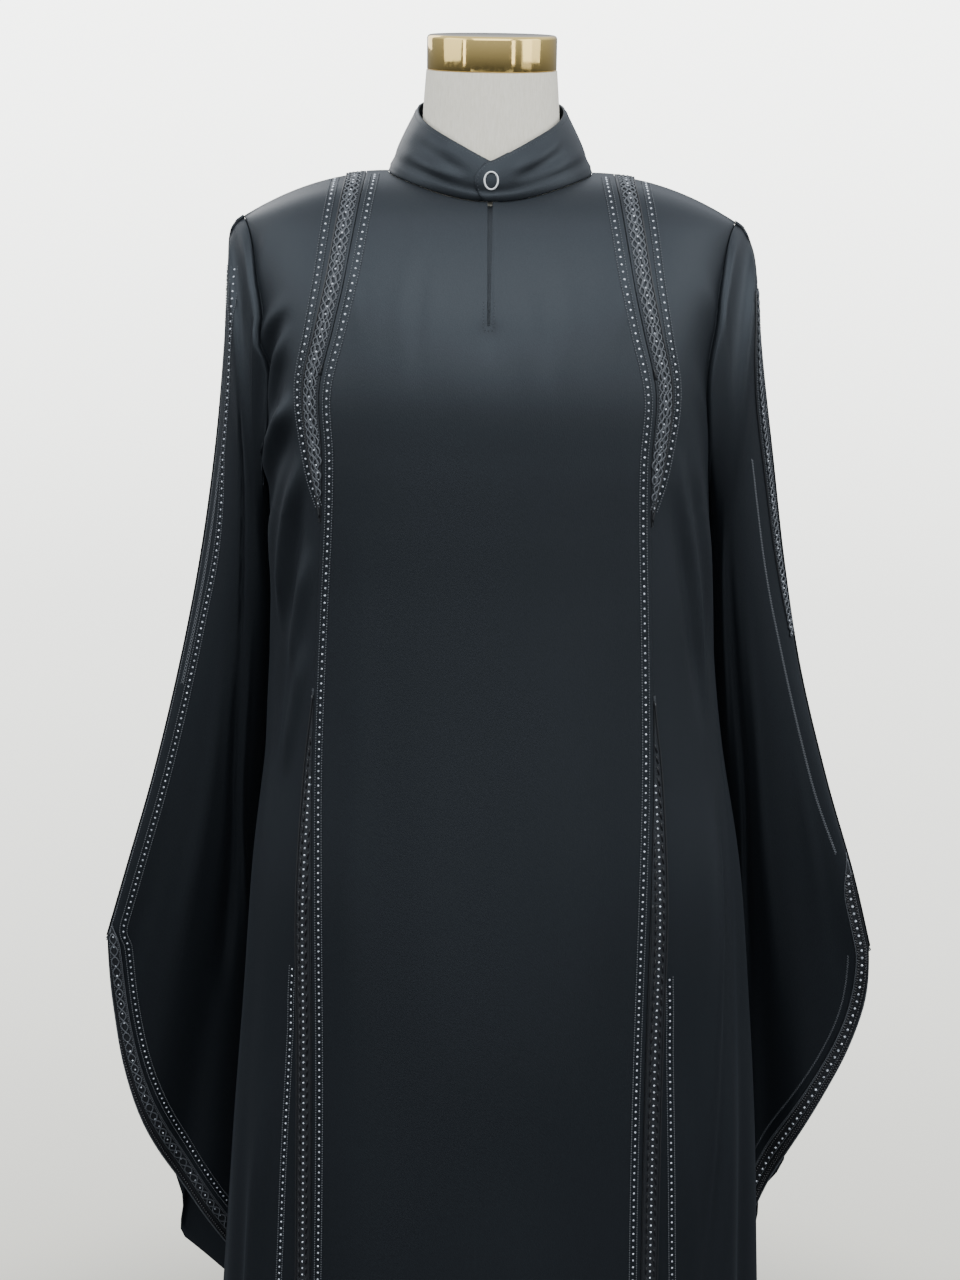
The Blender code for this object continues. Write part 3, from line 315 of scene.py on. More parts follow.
# Soft creases between the large folds, as ridges and troughs along short bowed lines.
# across: turn round the body or share across the sleeve, along: height in metres or sleeve row, at both
# ends; bow: how far the middle stands aside; ease: share of the length in which it fades at each end;
# spread: half width; rise: height, minus for a trough. Metres unless said otherwise.
Crease = namedtuple("Crease", "across_a along_a across_b along_b bow ease spread rise")
BODY_CREASES = [Crease(*row) for row in (
    # left side front: bows from the braid round to the armhole
    (-0.545, 1.375, -0.835, 1.215, 0.040, 0.35, 0.010, 0.0052),
    (-0.550, 1.362, -0.800, 1.225, 0.029, 0.35, 0.008, -0.0038),
    (-0.560, 1.350, -0.765, 1.235, 0.020, 0.35, 0.008, 0.0042),
    (-0.580, 1.325, -0.740, 1.240, 0.012, 0.40, 0.009, -0.0026),
    (-0.565, 1.290, -0.880, 1.195, 0.006, 0.30, 0.010, 0.0070),
    (-0.575, 1.266, -0.840, 1.165, 0.006, 0.35, 0.011, -0.0046),
    (-0.540, 1.245, -0.755, 1.075, 0.009, 0.32, 0.009, 0.0062),
    (-0.530, 1.222, -0.700, 1.050, 0.008, 0.35, 0.010, -0.0042),
    (-0.515, 1.170, -0.655, 1.030, 0.006, 0.35, 0.011, 0.0050),
    (-0.550, 1.085, -0.665, 0.950, 0.003, 0.35, 0.010, 0.0036),
    (-0.690, 1.090, -0.770, 0.900, 0.006, 0.40, 0.014, -0.0030),
    (-0.850, 1.130, -0.900, 0.940, 0.004, 0.40, 0.014, 0.0026),
    (-0.600, 0.700, -0.660, 0.330, 0.003, 0.40, 0.010, 0.0034),
    (-0.720, 0.640, -0.760, 0.100, -0.004, 0.40, 0.018, -0.0034),
    (-0.640, 1.440, -0.800, 1.370, 0.006, 0.45, 0.012, 0.0014),
    # right side front
    (0.600, 1.405, 0.820, 1.300, -0.016, 0.42, 0.012, 0.0020),
    (0.590, 1.330, 0.830, 1.190, -0.014, 0.42, 0.012, 0.0022),
    (0.560, 1.262, 0.740, 1.000, -0.008, 0.38, 0.009, 0.0046),
    (0.530, 1.225, 0.690, 0.980, -0.008, 0.40, 0.010, -0.0030),
    (0.640, 1.230, 0.800, 1.030, -0.008, 0.40, 0.013, -0.0024),
    (0.860, 1.150, 0.800, 0.820, 0.004, 0.42, 0.014, 0.0026),
    (0.775, 0.960, 0.565, 0.440, 0.004, 0.30, 0.009, -0.0052),
    (0.730, 0.960, 0.520, 0.440, 0.004, 0.35, 0.012, 0.0026),
    (0.460, 0.720, 0.520, 0.300, -0.003, 0.40, 0.010, 0.0030),
    # centre panel: faint drapes below the neck seam and long low ones in the skirt
    (-0.145, 1.425, -0.185, 1.300, 0.002, 0.45, 0.008, 0.0009),
    (-0.090, 1.412, -0.110, 1.290, 0.001, 0.45, 0.007, 0.0010),
    (-0.116, 1.415, -0.150, 1.300, 0.001, 0.45, 0.006, -0.0008),
    (-0.045, 1.400, -0.050, 1.270, 0.000, 0.45, 0.007, 0.0007),
    (0.050, 1.409, 0.075, 1.285, -0.001, 0.45, 0.007, 0.0009),
    (0.085, 1.412, 0.110, 1.300, -0.001, 0.45, 0.006, -0.0008),
    (0.125, 1.412, 0.170, 1.290, -0.002, 0.45, 0.008, 0.0010),
    (-0.36, 1.440, -0.30, 1.330, -0.002, 0.45, 0.007, 0.0010),
    (0.36, 1.440, 0.31, 1.330, 0.002, 0.45, 0.007, 0.0010),
    (-0.31, 1.230, -0.30, 0.700, 0.004, 0.40, 0.020, 0.0016),
    (-0.20, 1.120, -0.20, 0.500, -0.004, 0.40, 0.026, -0.0016),
    (-0.06, 1.050, -0.05, 0.350, 0.003, 0.40, 0.030, 0.0018),
    (0.16, 1.150, 0.18, 0.450, 0.004, 0.40, 0.026, 0.0018),
    (0.27, 1.000, 0.29, 0.400, -0.004, 0.40, 0.022, -0.0018),
    # back: below the shoulders and across the small of the back
    (-1.78, 1.400, -1.62, 1.250, -0.010, 0.45, 0.012, 0.0026),
    (1.80, 1.395, 1.63, 1.240, 0.010, 0.45, 0.012, 0.0026),
    (-1.92, 1.430, -1.90, 1.310, 0.003, 0.45, 0.010, 0.0014),
    (1.90, 1.425, 1.92, 1.300, -0.003, 0.45, 0.010, 0.0014),
    (-1.62, 1.165, -1.84, 1.105, 0.006, 0.45, 0.014, -0.0012),
    (1.70, 1.120, 1.90, 1.040, -0.006, 0.45, 0.014, -0.0011),
    (-1.76, 0.900, -1.73, 0.250, 0.006, 0.35, 0.014, -0.0040),
    (1.84, 0.950, 1.84, 0.200, -0.006, 0.35, 0.014, -0.0040),
    (-1.96, 0.850, -1.97, 0.150, 0.004, 0.35, 0.016, 0.0036),
)]
COLLAR_CREASES = [Crease(*row) for row in (
    (-75, 0.45, -14, 0.36, 0.000, 0.30, 0.0035, 0.0013),
    (-70, 0.70, -10, 0.56, 0.001, 0.30, 0.0035, -0.0012),
    (-62, 0.86, -20, 0.80, 0.000, 0.35, 0.0030, 0.0010),
    (12, 0.42, 62, 0.62, 0.001, 0.30, 0.0035, -0.0012),
    (10, 0.62, 66, 0.84, 0.001, 0.30, 0.0032, 0.0013),
    (30, 0.34, 84, 0.46, 0.001, 0.30, 0.0035, 0.0010),
    (-150, 0.62, -100, 0.50, 0.001, 0.35, 0.0035, 0.0009),
    (96, 0.46, 150, 0.60, 0.001, 0.35, 0.0035, -0.0010),
)]
SLEEVE_CREASES = {
    "left": [Crease(*row) for row in (
        (0.64, 1.0, 0.36, 3.5, 0.004, 0.30, 0.010, -0.0060),
        (0.42, 3.0, 0.24, 6.2, 0.003, 0.30, 0.012, -0.0060),
        (0.30, 2.4, 0.10, 5.6, 0.003, 0.35, 0.010, 0.0030),
        (0.60, 3.4, 0.52, 7.2, 0.005, 0.40, 0.020, 0.0030),
    )],
    "right": [Crease(*row) for row in (
        (0.30, 1.3, 0.20, 6.6, 0.006, 0.35, 0.011, -0.0050),
        (0.18, 1.0, 0.10, 3.6, 0.004, 0.35, 0.009, 0.0034),
        (0.46, 2.4, 0.40, 7.2, 0.004, 0.38, 0.018, 0.0028),
        (0.82, 5.0, 0.72, 7.0, 0.006, 0.45, 0.014, 0.0020),
    )],
}
SLEEVE_BACK_CREASES = [Crease(*row) for row in (
    (0.45, 2.0, 0.40, 7.8, 0.006, 0.35, 0.014, -0.0045),
    (0.75, 3.0, 0.68, 7.8, 0.004, 0.35, 0.012, 0.0034),
    (0.24, 2.4, 0.20, 7.4, 0.004, 0.35, 0.012, 0.0030),
    (0.78, 0.6, 0.56, 2.2, 0.008, 0.45, 0.012, 0.0024),
)]

# Sizes of the trims
STONE_RADIUS = 0.00102
STONE_PITCH = 0.0064
STONE_TILT = 0.17          # radians, how unevenly the stones are set
ROW_CORD_GAP = 0.0034      # from a row of stones to the fine cord on each side of it
FINE_CORD = 0.00055
DOT_PITCH = 0.0023         # dots along a fine cord
EDGE_CORD = 0.0008
ZIGZAG_REACH = 0.0030      # how far the zigzag cords of the braid swing to each side
ZIGZAG_WAVE = 0.0084
ZIGZAG_CORD = 0.00062
BRAID_STONE_PITCH = 0.0063
ROD_LENGTH = 0.0090
ROD_PITCH = 0.0099
ROD_SLANT = 0.16
STITCH_PITCH = 0.0028
STITCH_HALF_WIDTH = 0.00028
INNER_ROW_INSET = 0.0079   # inside the centre panel's edge
RIM_SPACING = 0.001        # of the points of a line along the rim
RIM_SMOOTHING = 14         # points to each side over which such a line is evened out
LAID_FROM = 0.3            # sleeve row from which lines are laid on the cloth
LEAST_FACING = 0.35        # how much a normal faces the front at least, where a line is laid on a slope
ROW_INSIDE_BORDER = 0.0075  # from the cuff's border to the row of stones above it

# Outer row of stones: distance from the centre panel's edge at some heights, above and below
OUTER_ABOVE = [(1.198, 0.0020), (1.222, 0.0120), (1.2535, 0.0185), (1.297, 0.0215), (1.36, 0.0240),
               (1.462, 0.0265)]
OUTER_BELOW = {
    "left": [(0.062, 0.0520), (0.43, 0.0385), (0.50, 0.0350), (0.60, 0.0310), (0.72, 0.0245),
             (0.79, 0.0198)],
    "right": [(0.062, 0.0450), (0.43, 0.0345), (0.50, 0.0318), (0.60, 0.0285), (0.72, 0.0236),
              (0.79, 0.0198)],
}
# Braided border of the cuff: its width, square to the edge. share: 0 underarm edge, 1 overarm edge
BORDER_WIDTH = [(0.0, 0.0180), (0.30, 0.0190), (0.60, 0.0175), (0.85, 0.0140), (1.0, 0.0125)]
BORDER_BRAID = 0.0115      # of which this much is braid, beside the inner seam
BORDER_START = {"left": 7.72, "right": 6.75}    # sleeve row where it begins on the overarm edge
BORDER_TAPER = {"left": 0.018, "right": 0.050}  # length over which it grows to its width
BORDER_REACH = 1.8         # rows above the cuff in which its inner seam lies
SEAM_WELT = 0.0013         # radius of the rolled overarm seam at the shoulder

# Rows along the overarm edge of the front sleeve piece: sleeve row and distance from the edge
LEFT_RIM_ROW = [(1.0, 0.0012), (2.0, 0.0018), (2.5, 0.0047), (3.0, 0.0078), (3.5, 0.0118), (4.0, 0.0134),
                (4.5, 0.0120), (5.2, 0.0116), (8.0, 0.0116)]
RIGHT_RIM_BRAID = [(1.2, 0.0040), (1.5, 0.0060), (2.0, 0.0100), (2.5, 0.0109), (3.25, 0.0091),
                   (3.88, 0.0071), (4.35, 0.0049), (4.7, 0.0020)]
RIGHT_STITCHED_ROW = [(2.9, 0.0200), (3.43, 0.0190), (3.9, 0.0180), (4.3, 0.0165), (4.74, 0.0140),
                      (5.2, 0.0130), (6.0, 0.0130), (6.3, 0.0120), (6.75, 0.0095)]

# What is sewn on the braid, at distances from its outer edge. Zigzags: distance, reach, wave;
# rods: distance and the side to which they slant
BRAID_CORDS = {"chest": (0.0010, 0.0160), "skirt": (0.0010, 0.0154)}
BRAID_STONES = {"chest": 0.0078, "skirt": 0.0083}
CHEST_DOTS = (0.0024, 0.0142)
CHEST_ZIGZAGS = ((0.0046, 0.0024, 0.0140), (0.0080, 0.0028, 0.0190), (0.0114, 0.0024, 0.0160))
CHEST_ZIGZAG_CORD = 0.00066
SKIRT_RODS = ((0.0046, -1), (0.0120, 1))
ROD_SIZE = (0.0008, ROD_LENGTH / 2, 0.0007)
ROD_LIFT = 0.0004
BRAID_CLOTH_ROWS = {"chest": (9.0, SHOULDER), "skirt": (0.0, 7.0)}
BRAID_LEAST = 0.002        # width of its cloth where it slips under the centre panel
BRAID_SHOWS = 0.0012       # the braid's lines stop this far outside the centre panel's edge
BRAID_ROWS = {"chest": (9.02, 16.95), "skirt": (0.03, 7.0)}   # body rows between which its trims run
INNER_ROW = (0.03, 16.6)   # body rows between which the inner row of stones runs
OUTER_TOP = 1.4615         # height at which the outer row stops, below the shoulder seam
OUTER_OFF_BRAID = 0.0040   # distance from the braid beyond which the outer row comes down on the cloth
OUTER_EASE = 0.003         # and the distance in which it does
ROW_SPACING = 0.004        # of the points along a row

# Trims of the cuffs and the overarm edges
BORDER_GROWN = 0.45        # share of its width from which the border carries braid
BORDER_DOTS = (0.0016, BORDER_BRAID - 0.0014)
SEAM_CORD_INSET = 0.0004   # cord over the border's seam
LEFT_BORDER_ZIGZAG = (0.0036, 0.00065, 0.0230)   # reach, cord, wave, and so on below
LEFT_RIM_ZIGZAG = (0.0016, 0.0004, 0.0060)
LEFT_RIM_INSET = 0.0055
LEFT_RIM_ROWS = (3.0, 5.2)  # sleeve rows between which the left rim has its zigzag
RIGHT_RIM_ZIGZAG = (0.0034, 0.0008, 0.0150)
STITCHED_WAVE = 0.0026     # of the rows of zigzag stitches
RIM_CORD = FINE_CORD * 0.8
RIM_DOT = EDGE_CORD * 0.8
RIM_DOT_INSET = 0.0010
BEAD_SIZE = (0.0016, 0.0011, 0.0009)   # dark beads: half sizes across, along and up
BEAD_LIFT = 0.0005
BEAD_PITCH = 0.0030
BEAD_TILT = 0.3
BEAD_ROWS = (0.30, 0.80)   # shares of the border's width
PLAIN_BORDER = 0.004       # width beyond the braid from which the border has beads there
BORDER_MIDDLE = 0.55       # share of a width at which its middle line runs
OVERARM_CORDS = (0.0016, 0.0132)   # distances from the overarm braid's outer edge
OVERARM_MIDDLE = 0.0075
CUFF_STITCH_INSET = 0.012

# Rows of stitches
COLLAR_STITCH_INSET = 0.0021
COLLAR_STITCH_HEIGHTS = (0.06, 0.94)   # shares of its height
SLIT_STITCH_ASIDE = 0.0043
SLIT_STITCH_RISE = 0.019   # height of the rows beside the slit's lower end
HEM_STITCH_LEVEL = 0.085


# Numbers and surfaces

def curve(knots, values, at):
    """Smooth curve through the values at the knots."""
    knots, values, at = (np.asarray(part, float) for part in (knots, values, at))
    cell = np.clip(np.searchsorted(knots, at, side="right") - 1, 0, len(knots) - 2)
    before = np.maximum(np.arange(len(knots)) - 1, 0)
    after = np.minimum(np.arange(len(knots)) + 1, len(knots) - 1)
    slopes = (values[after] - values[before]) / (knots[after] - knots[before])
    gap = knots[cell + 1] - knots[cell]
    share = (at - knots[cell]) / gap
    square, cube = share * share, share ** 3
    return (values[cell] * (2 * cube - 3 * square + 1) + slopes[cell] * gap * (cube - 2 * square + share)
            + values[cell + 1] * (3 * square - 2 * cube) + slopes[cell + 1] * gap * (cube - square))


def smoothstep(low, high, value):
    """0 below low, 1 above high and a smooth rise between them."""
    share = np.clip((np.asarray(value, float) - low) / (high - low), 0.0, 1.0)
    return share * share * (3 - 2 * share)


def unit(vectors):
    return vectors / np.maximum(np.linalg.norm(vectors, axis=-1, keepdims=True), 1e-12)


def ring(count):
    """Cosines and sines of even steps round a circle."""
    angle = 2 * math.pi * np.arange(count) / count
    return np.cos(angle), np.sin(angle)


def run_lengths(points):
    """Length along a line, up to each of its points."""
    return np.concatenate([[0.0], np.cumsum(np.linalg.norm(np.diff(points, axis=0), axis=1))])


def values_along(at, lengths, values):
    """What a line's values are at other lengths along it."""
    return np.stack([np.interp(at, lengths, values[:, axis]) for axis in range(3)], axis=1)


def side_sign(side):
    return 1.0 if side == "right" else -1.0


def body_value(name, row):
    """A column of the body table at any row."""
    return curve(range(len(BODY)), [getattr(section, name) for section in BODY], row)


def body_plain(turn, row):
    """Points on the body without its folds. turn: 0 centre front, 1 side, 2 centre back."""
    turn, row = np.broadcast_arrays(np.asarray(turn, float), np.asarray(row, float))
    turn = (turn + 2) % 4 - 2
    share = np.abs(turn)
    wide = np.where(turn >= 0, body_value("right", row), body_value("left", row))
    front = share <= 1
    deep = np.maximum(np.where(front, body_value("front", row), body_value("back", row)), 0.0)
    corner = np.where(front, body_value("corner", row), BACK_CORNER)
    angle = np.where(front, share, 2 - share) * math.pi / 2
    x = wide * np.abs(np.sin(angle)) ** (2 / corner)
    y = deep * np.maximum(np.cos(angle), 0.0) ** (2 / corner)
    past_neck = np.maximum(x - NECK_HALF_WIDTH, 0.0) / (SHOULDER_TIP - NECK_HALF_WIDTH)
    rise = smoothstep(FALL_FROM, SHOULDER, row) ** FALL_POWER
    z = body_value("level", row) - SHOULDER_FALL * past_neck ** 2 * rise
    return np.stack([np.copysign(x, turn), np.where(front, -y, y), z], axis=-1)


def turn_at(x, row, front=True):
    """The turn at which the body has this x."""
    x, row = np.broadcast_arrays(np.asarray(x, float), np.asarray(row, float))
    wide = np.where(x >= 0, body_value("right", row), body_value("left", row))
    corner = body_value("corner", row) if front else BACK_CORNER
    share = np.arcsin(np.minimum(np.abs(x) / wide, 1.0) ** (corner / 2)) / (math.pi / 2)
    return np.copysign(share if front else 2 - share, x)


def body_normal(turn, row):
    """Outward direction of the body without its folds."""
    row = np.asarray(row, float)
    low, high = np.maximum(row - ROW_STEP, 0.0), np.minimum(row + ROW_STEP, float(SHOULDER))
    around = body_plain(turn + STEP, row) - body_plain(turn - STEP, row)
    upward = body_plain(turn, high) - body_plain(turn, low)
    return unit(np.cross(around, upward))


def fold_height(turn, row):
    """How far the large folds lift the cloth."""
    turn, row = np.broadcast_arrays(np.asarray(turn, float), np.asarray(row, float))
    girth = 0.5 * math.pi * np.where(turn >= 0, body_value("right", row), body_value("left", row))
    total = np.zeros(turn.shape)
    for fold in FOLDS:
        down = np.clip((fold.top - row) / (fold.top - fold.bottom), 0.0, 1.0)
        swell = smoothstep(0.0, 0.75, down)
        if fold.bottom > 0:
            swell = 2.0 * swell * (1 - smoothstep(0.6, 1.0, down))
        centre = fold.turn_top + (fold.turn_bottom - fold.turn_top) * down
        apart = np.abs(turn - centre)
        apart = np.minimum(apart, 4 - apart) * girth
        total += fold.rise * swell * np.exp(-(apart / fold.spread) ** 2)
    return total


def crease_height(creases, across, along, across_scale, along_scale):
    """Soft ridges and troughs along short bowed lines. across and along are surface coordinates."""
    total = np.zeros(np.broadcast(across, along).shape)
    for line in creases:
        run = np.array([(line.across_b - line.across_a) * across_scale,
                        (line.along_b - line.along_a) * along_scale])
        length = np.hypot(*run)
        way = run / length
        dx = (across - line.across_a) * across_scale
        dy = (along - line.along_a) * along_scale
        share = (dx * way[0] + dy * way[1]) / length
        bow = line.bow * 4 * share * (1 - share)
        apart = dx * way[1] - dy * way[0] - bow
        ends = smoothstep(0.0, line.ease, share) * (1 - smoothstep(1 - line.ease, 1.0, share))
        total += line.rise * ends * np.exp(-(apart / line.spread) ** 2)
    return total


def body_relief(turn, row):
    """All folds and creases of the body."""
    turn, row = np.broadcast_arrays(np.asarray(turn, float), np.asarray(row, float))
    level = body_value("level", row)
    fine = crease_height(BODY_CREASES, turn, level, TURN_METRES, 1.0)
    return fold_height(turn, row) + fine + slit_relief(turn, level)


def slit_relief(turn, level):
    """Pressed fold on each side of the neck slit, and the pinch below it."""
    beside = turn * TURN_METRES
    low = SLIT_TOP - SLIT_LENGTH
    length = smoothstep(low - SLIT_FOLD_EASE, low + SLIT_FOLD_EASE, level)
    length = length * (1 - smoothstep(*SLIT_FOLD_END, level))
    folds = sum(rise * np.exp(-((beside - aside) / SLIT_FOLD_SPREAD) ** 2) for aside, rise in SLIT_FOLDS)
    below = (level - low + PINCH_DROP) / PINCH_HEIGHT
    pinch = PINCH_RISE * np.exp(-(beside / PINCH_SPREAD) ** 2 - below ** 2)
    return folds * length + pinch


def body_point(turn, row, out=0.0):
    """Points on the outer face of the body's cloth, moved out by a distance."""
    return body_plain(turn, row) + body_normal(turn, row) * (body_relief(turn, row) + out)[..., None]


def lap_turn(side, row, beyond):
    """Turn of the line that lies this far beyond the centre panel's edge."""
    sign = side_sign(side)
    edge = body_value("princess", row)
    here = body_plain(turn_at(sign * edge, row), row)
    ahead = body_plain(turn_at(sign * (edge + STEP), row), row)
    across = STEP / np.maximum(np.linalg.norm((ahead - here)[..., :2], axis=-1), 1e-9)
    return turn_at(sign * (edge + beyond * across), row)


def armhole_turn(side, row, front=True):
    """Turn of the armhole's edge at a body row."""
    rows = [line.row for line in ARMHOLE]
    share = curve(rows, [line.front if front else line.back for line in ARMHOLE], np.maximum(row, UNDERARM))
    share = np.where(np.asarray(row) > UNDERARM, share, 1.0)
    return side_sign(side) * (share if front else 2 - share)


@lru_cache(maxsize=None)
def neck_row(x, front=True):
    """Body row at which a column that ends at this x meets the neck seam."""
    depth = NECK_FRONT if front else NECK_BACK
    target = depth * math.sqrt(max(1 - (x / NECK_HALF_WIDTH) ** 2, 0.0))
    low, high = 12.0, float(SHOULDER)
    for _ in range(30):
        middle = (low + high) / 2
        if abs(body_plain(turn_at(x, middle, front), middle)[1]) > target:
            low = middle
        else:
            high = middle
    return high


def rows_from(start, end):
    """Body rows spaced for about 8 mm of cloth."""
    counts = {0: 20, 1: 20, 2: 16, 3: 14, 4: 14, 5: 12, 6: 9, 7: 9, 8: 8}
    rows = []
    for whole in range(SHOULDER):
        rows += list(whole + np.arange(counts.get(whole, 8)) / counts.get(whole, 8))
    rows = [row for row in rows if start < row < end]
    return np.array([start] + rows + [end])


# Making meshes

def place(item, slot, *nodes):
    """Fix a piece to the body and hide the nodes that it stands for; slot is not used."""
    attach(item, "root")
    if nodes:
        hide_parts(*nodes)


def new_mesh(name, points, faces, material, smooth=True):
    data = bpy.data.meshes.new(name)
    data.from_pydata(np.asarray(points, float).tolist(), [], faces)
    data.update()
    data.materials.append(material)
    item = bpy.data.objects.new(name, data)
    bpy.context.scene.collection.objects.link(item)
    if smooth:
        data.shade_smooth()
    return item


def grid_normals(points, like=None):
    """Unit normals of a grid of points, turned to the same side as another set."""
    down = np.gradient(points, axis=0)
    across = np.gradient(points, axis=1)
    normals = unit(np.cross(across, down))
    if like is not None:
        flip = np.sum(normals * like, axis=-1, keepdims=True) < 0
        normals = np.where(flip, -normals, normals)
    return normals


def tube_faces(rings, sides, base=0):
    """Faces between rings of points, numbered from a base, with a face that closes each end."""
    index = base + np.arange(rings * sides).reshape(rings, sides)
    after = np.roll(index, -1, axis=1)
    faces = np.stack([index[:-1], after[:-1], after[1:], index[1:]], axis=-1).reshape(-1, 4).tolist()
    return faces + [index[0][::-1].tolist(), index[-1].tolist()]


def cloth_wall(name, outer, inner, material):
    """Closed wall between two grids of points, with rounded edges."""
    rows, columns = outer.shape[:2]
    rim = [(0, j) for j in range(columns)] + [(i, columns - 1) for i in range(1, rows)]
    rim += [(rows - 1, j) for j in range(columns - 2, -1, -1)] + [(i, 0) for i in range(rows - 2, 0, -1)]
    rim = np.array(rim)
    inside = np.stack([np.clip(rim[:, 0], 1, rows - 2), np.clip(rim[:, 1], 1, columns - 2)], axis=1)
    top, low = outer[rim[:, 0], rim[:, 1]].copy(), inner[rim[:, 0], rim[:, 1]].copy()
    middle = (top + low) / 2
    away = middle - (outer[inside[:, 0], inside[:, 1]] + inner[inside[:, 0], inside[:, 1]]) / 2
    thick = top - low
    depth = np.linalg.norm(thick, axis=1, keepdims=True)
    up = thick / depth
    away = unit(away - np.sum(away * up, axis=1, keepdims=True) * up)
    radius = depth / 2
    outer, inner = outer.copy(), inner.copy()
    outer[rim[:, 0], rim[:, 1]] = top - away * radius
    inner[rim[:, 0], rim[:, 1]] = low - away * radius
    rounds = [middle + away * radius * (math.cos(angle) - 1) + up * radius * math.sin(angle)
              for angle in (math.pi / 4, 0.0, -math.pi / 4)]
    points = np.concatenate([outer.reshape(-1, 3), inner.reshape(-1, 3)] + rounds)
    index = np.arange(rows * columns).reshape(rows, columns)
    a, b, c, d = index[:-1, :-1], index[:-1, 1:], index[1:, 1:], index[1:, :-1]
    face = np.stack([a, b, c, d], axis=-1).reshape(-1, 4)
    centre = points[face[len(face) // 2]]
    facing = np.cross(centre[1] - centre[0], centre[3] - centre[0])
    out = outer[rows // 2, columns // 2] - inner[rows // 2, columns // 2]
    back = face[:, ::-1] + rows * columns
    count = len(rim)
    loops = [rim[:, 0] * columns + rim[:, 1]]
    loops += [2 * rows * columns + k * count + np.arange(count) for k in range(3)]
    loops += [rim[:, 0] * columns + rim[:, 1] + rows * columns]
    strips = []
    for first, second in zip(loops, loops[1:]):
        strips.append(np.stack([first, second, np.roll(second, -1), np.roll(first, -1)], axis=-1))
    faces = np.concatenate([face, back] + strips)
    if facing @ out < 0:
        faces = faces[:, ::-1]
    return new_mesh(name, points, faces.tolist(), material)


def body_panel(name, turns, rows, material, out=0.0, thick=CLOTH, seam_y=None):
    """Cloth wall over a grid of body coordinates."""
    plain, normal = body_plain(turns, rows), body_normal(turns, rows)
    point = plain + normal * (body_relief(turns, rows) + out)[..., None]
    if seam_y is not None:
        seam = (rows >= SHOULDER) | (np.abs(np.abs(turns) - 1) < 1e-9)
        point[seam, 1] = seam_y
    fine = grid_normals(point, normal)
    if seam_y is not None:
        fine[seam, 1] = 0.0
        fine = unit(fine)
    return cloth_wall(name, point, point - fine * thick, material)


def joined(name, template, faces, frames, scales, material, smooth):
    """One mesh of many copies. frames: (origin, x, y, z axes) arrays; scales: size along each axis."""
    origin, x_axis, y_axis, z_axis = frames
    template = np.asarray(template, float)
    local = template[None] * scales[:, None, :]
    points = (origin[:, None] + local[..., :1] * x_axis[:, None] + local[..., 1:2] * y_axis[:, None]
              + local[..., 2:] * z_axis[:, None])
    shift = len(template)
    all_faces = [tuple(corner + shift * k for corner in face) for k in range(len(origin)) for face in faces]
    return new_mesh(name, points.reshape(-1, 3), all_faces, material, smooth)


# Sleeves

def body_reach(side, y, z):
    """How far out the body's side lies at this place."""
    rows = np.linspace(0, UNDERARM, 181)
    row = float(np.interp(z, body_value("level", rows), rows))
    wide = float(body_value(side, row))
    deep = float(body_value("back" if y > 0 else "front", row))
    return wide * (1 - min(abs(y) / deep, 1.0) ** BACK_CORNER) ** (1 / BACK_CORNER)


def armhole_point(side, front, row):
    """Point on the armhole's edge, and the way on from it, away from the body."""
    turn = float(armhole_turn(side, row, front))
    point = body_point(turn, row)
    if row >= SHOULDER or row <= UNDERARM:
        point[1] = 0.0
    before, after = max(row - 0.05, UNDERARM), min(row + 0.05, SHOULDER)
    along = unit(body_point(float(armhole_turn(side, after, front)), after)
                 - body_point(float(armhole_turn(side, before, front)), before))
    if row <= UNDERARM:
        return point, np.array([0.0, 0.0, 1.0])
    away = unit(np.cross(along, body_normal(turn, row)))
    middle = np.array([side_sign(side) * ARMHOLE_MIDDLE[0], 0.0, ARMHOLE_MIDDLE[1]])
    return point, away if away @ (middle - point) >= 0 else -away


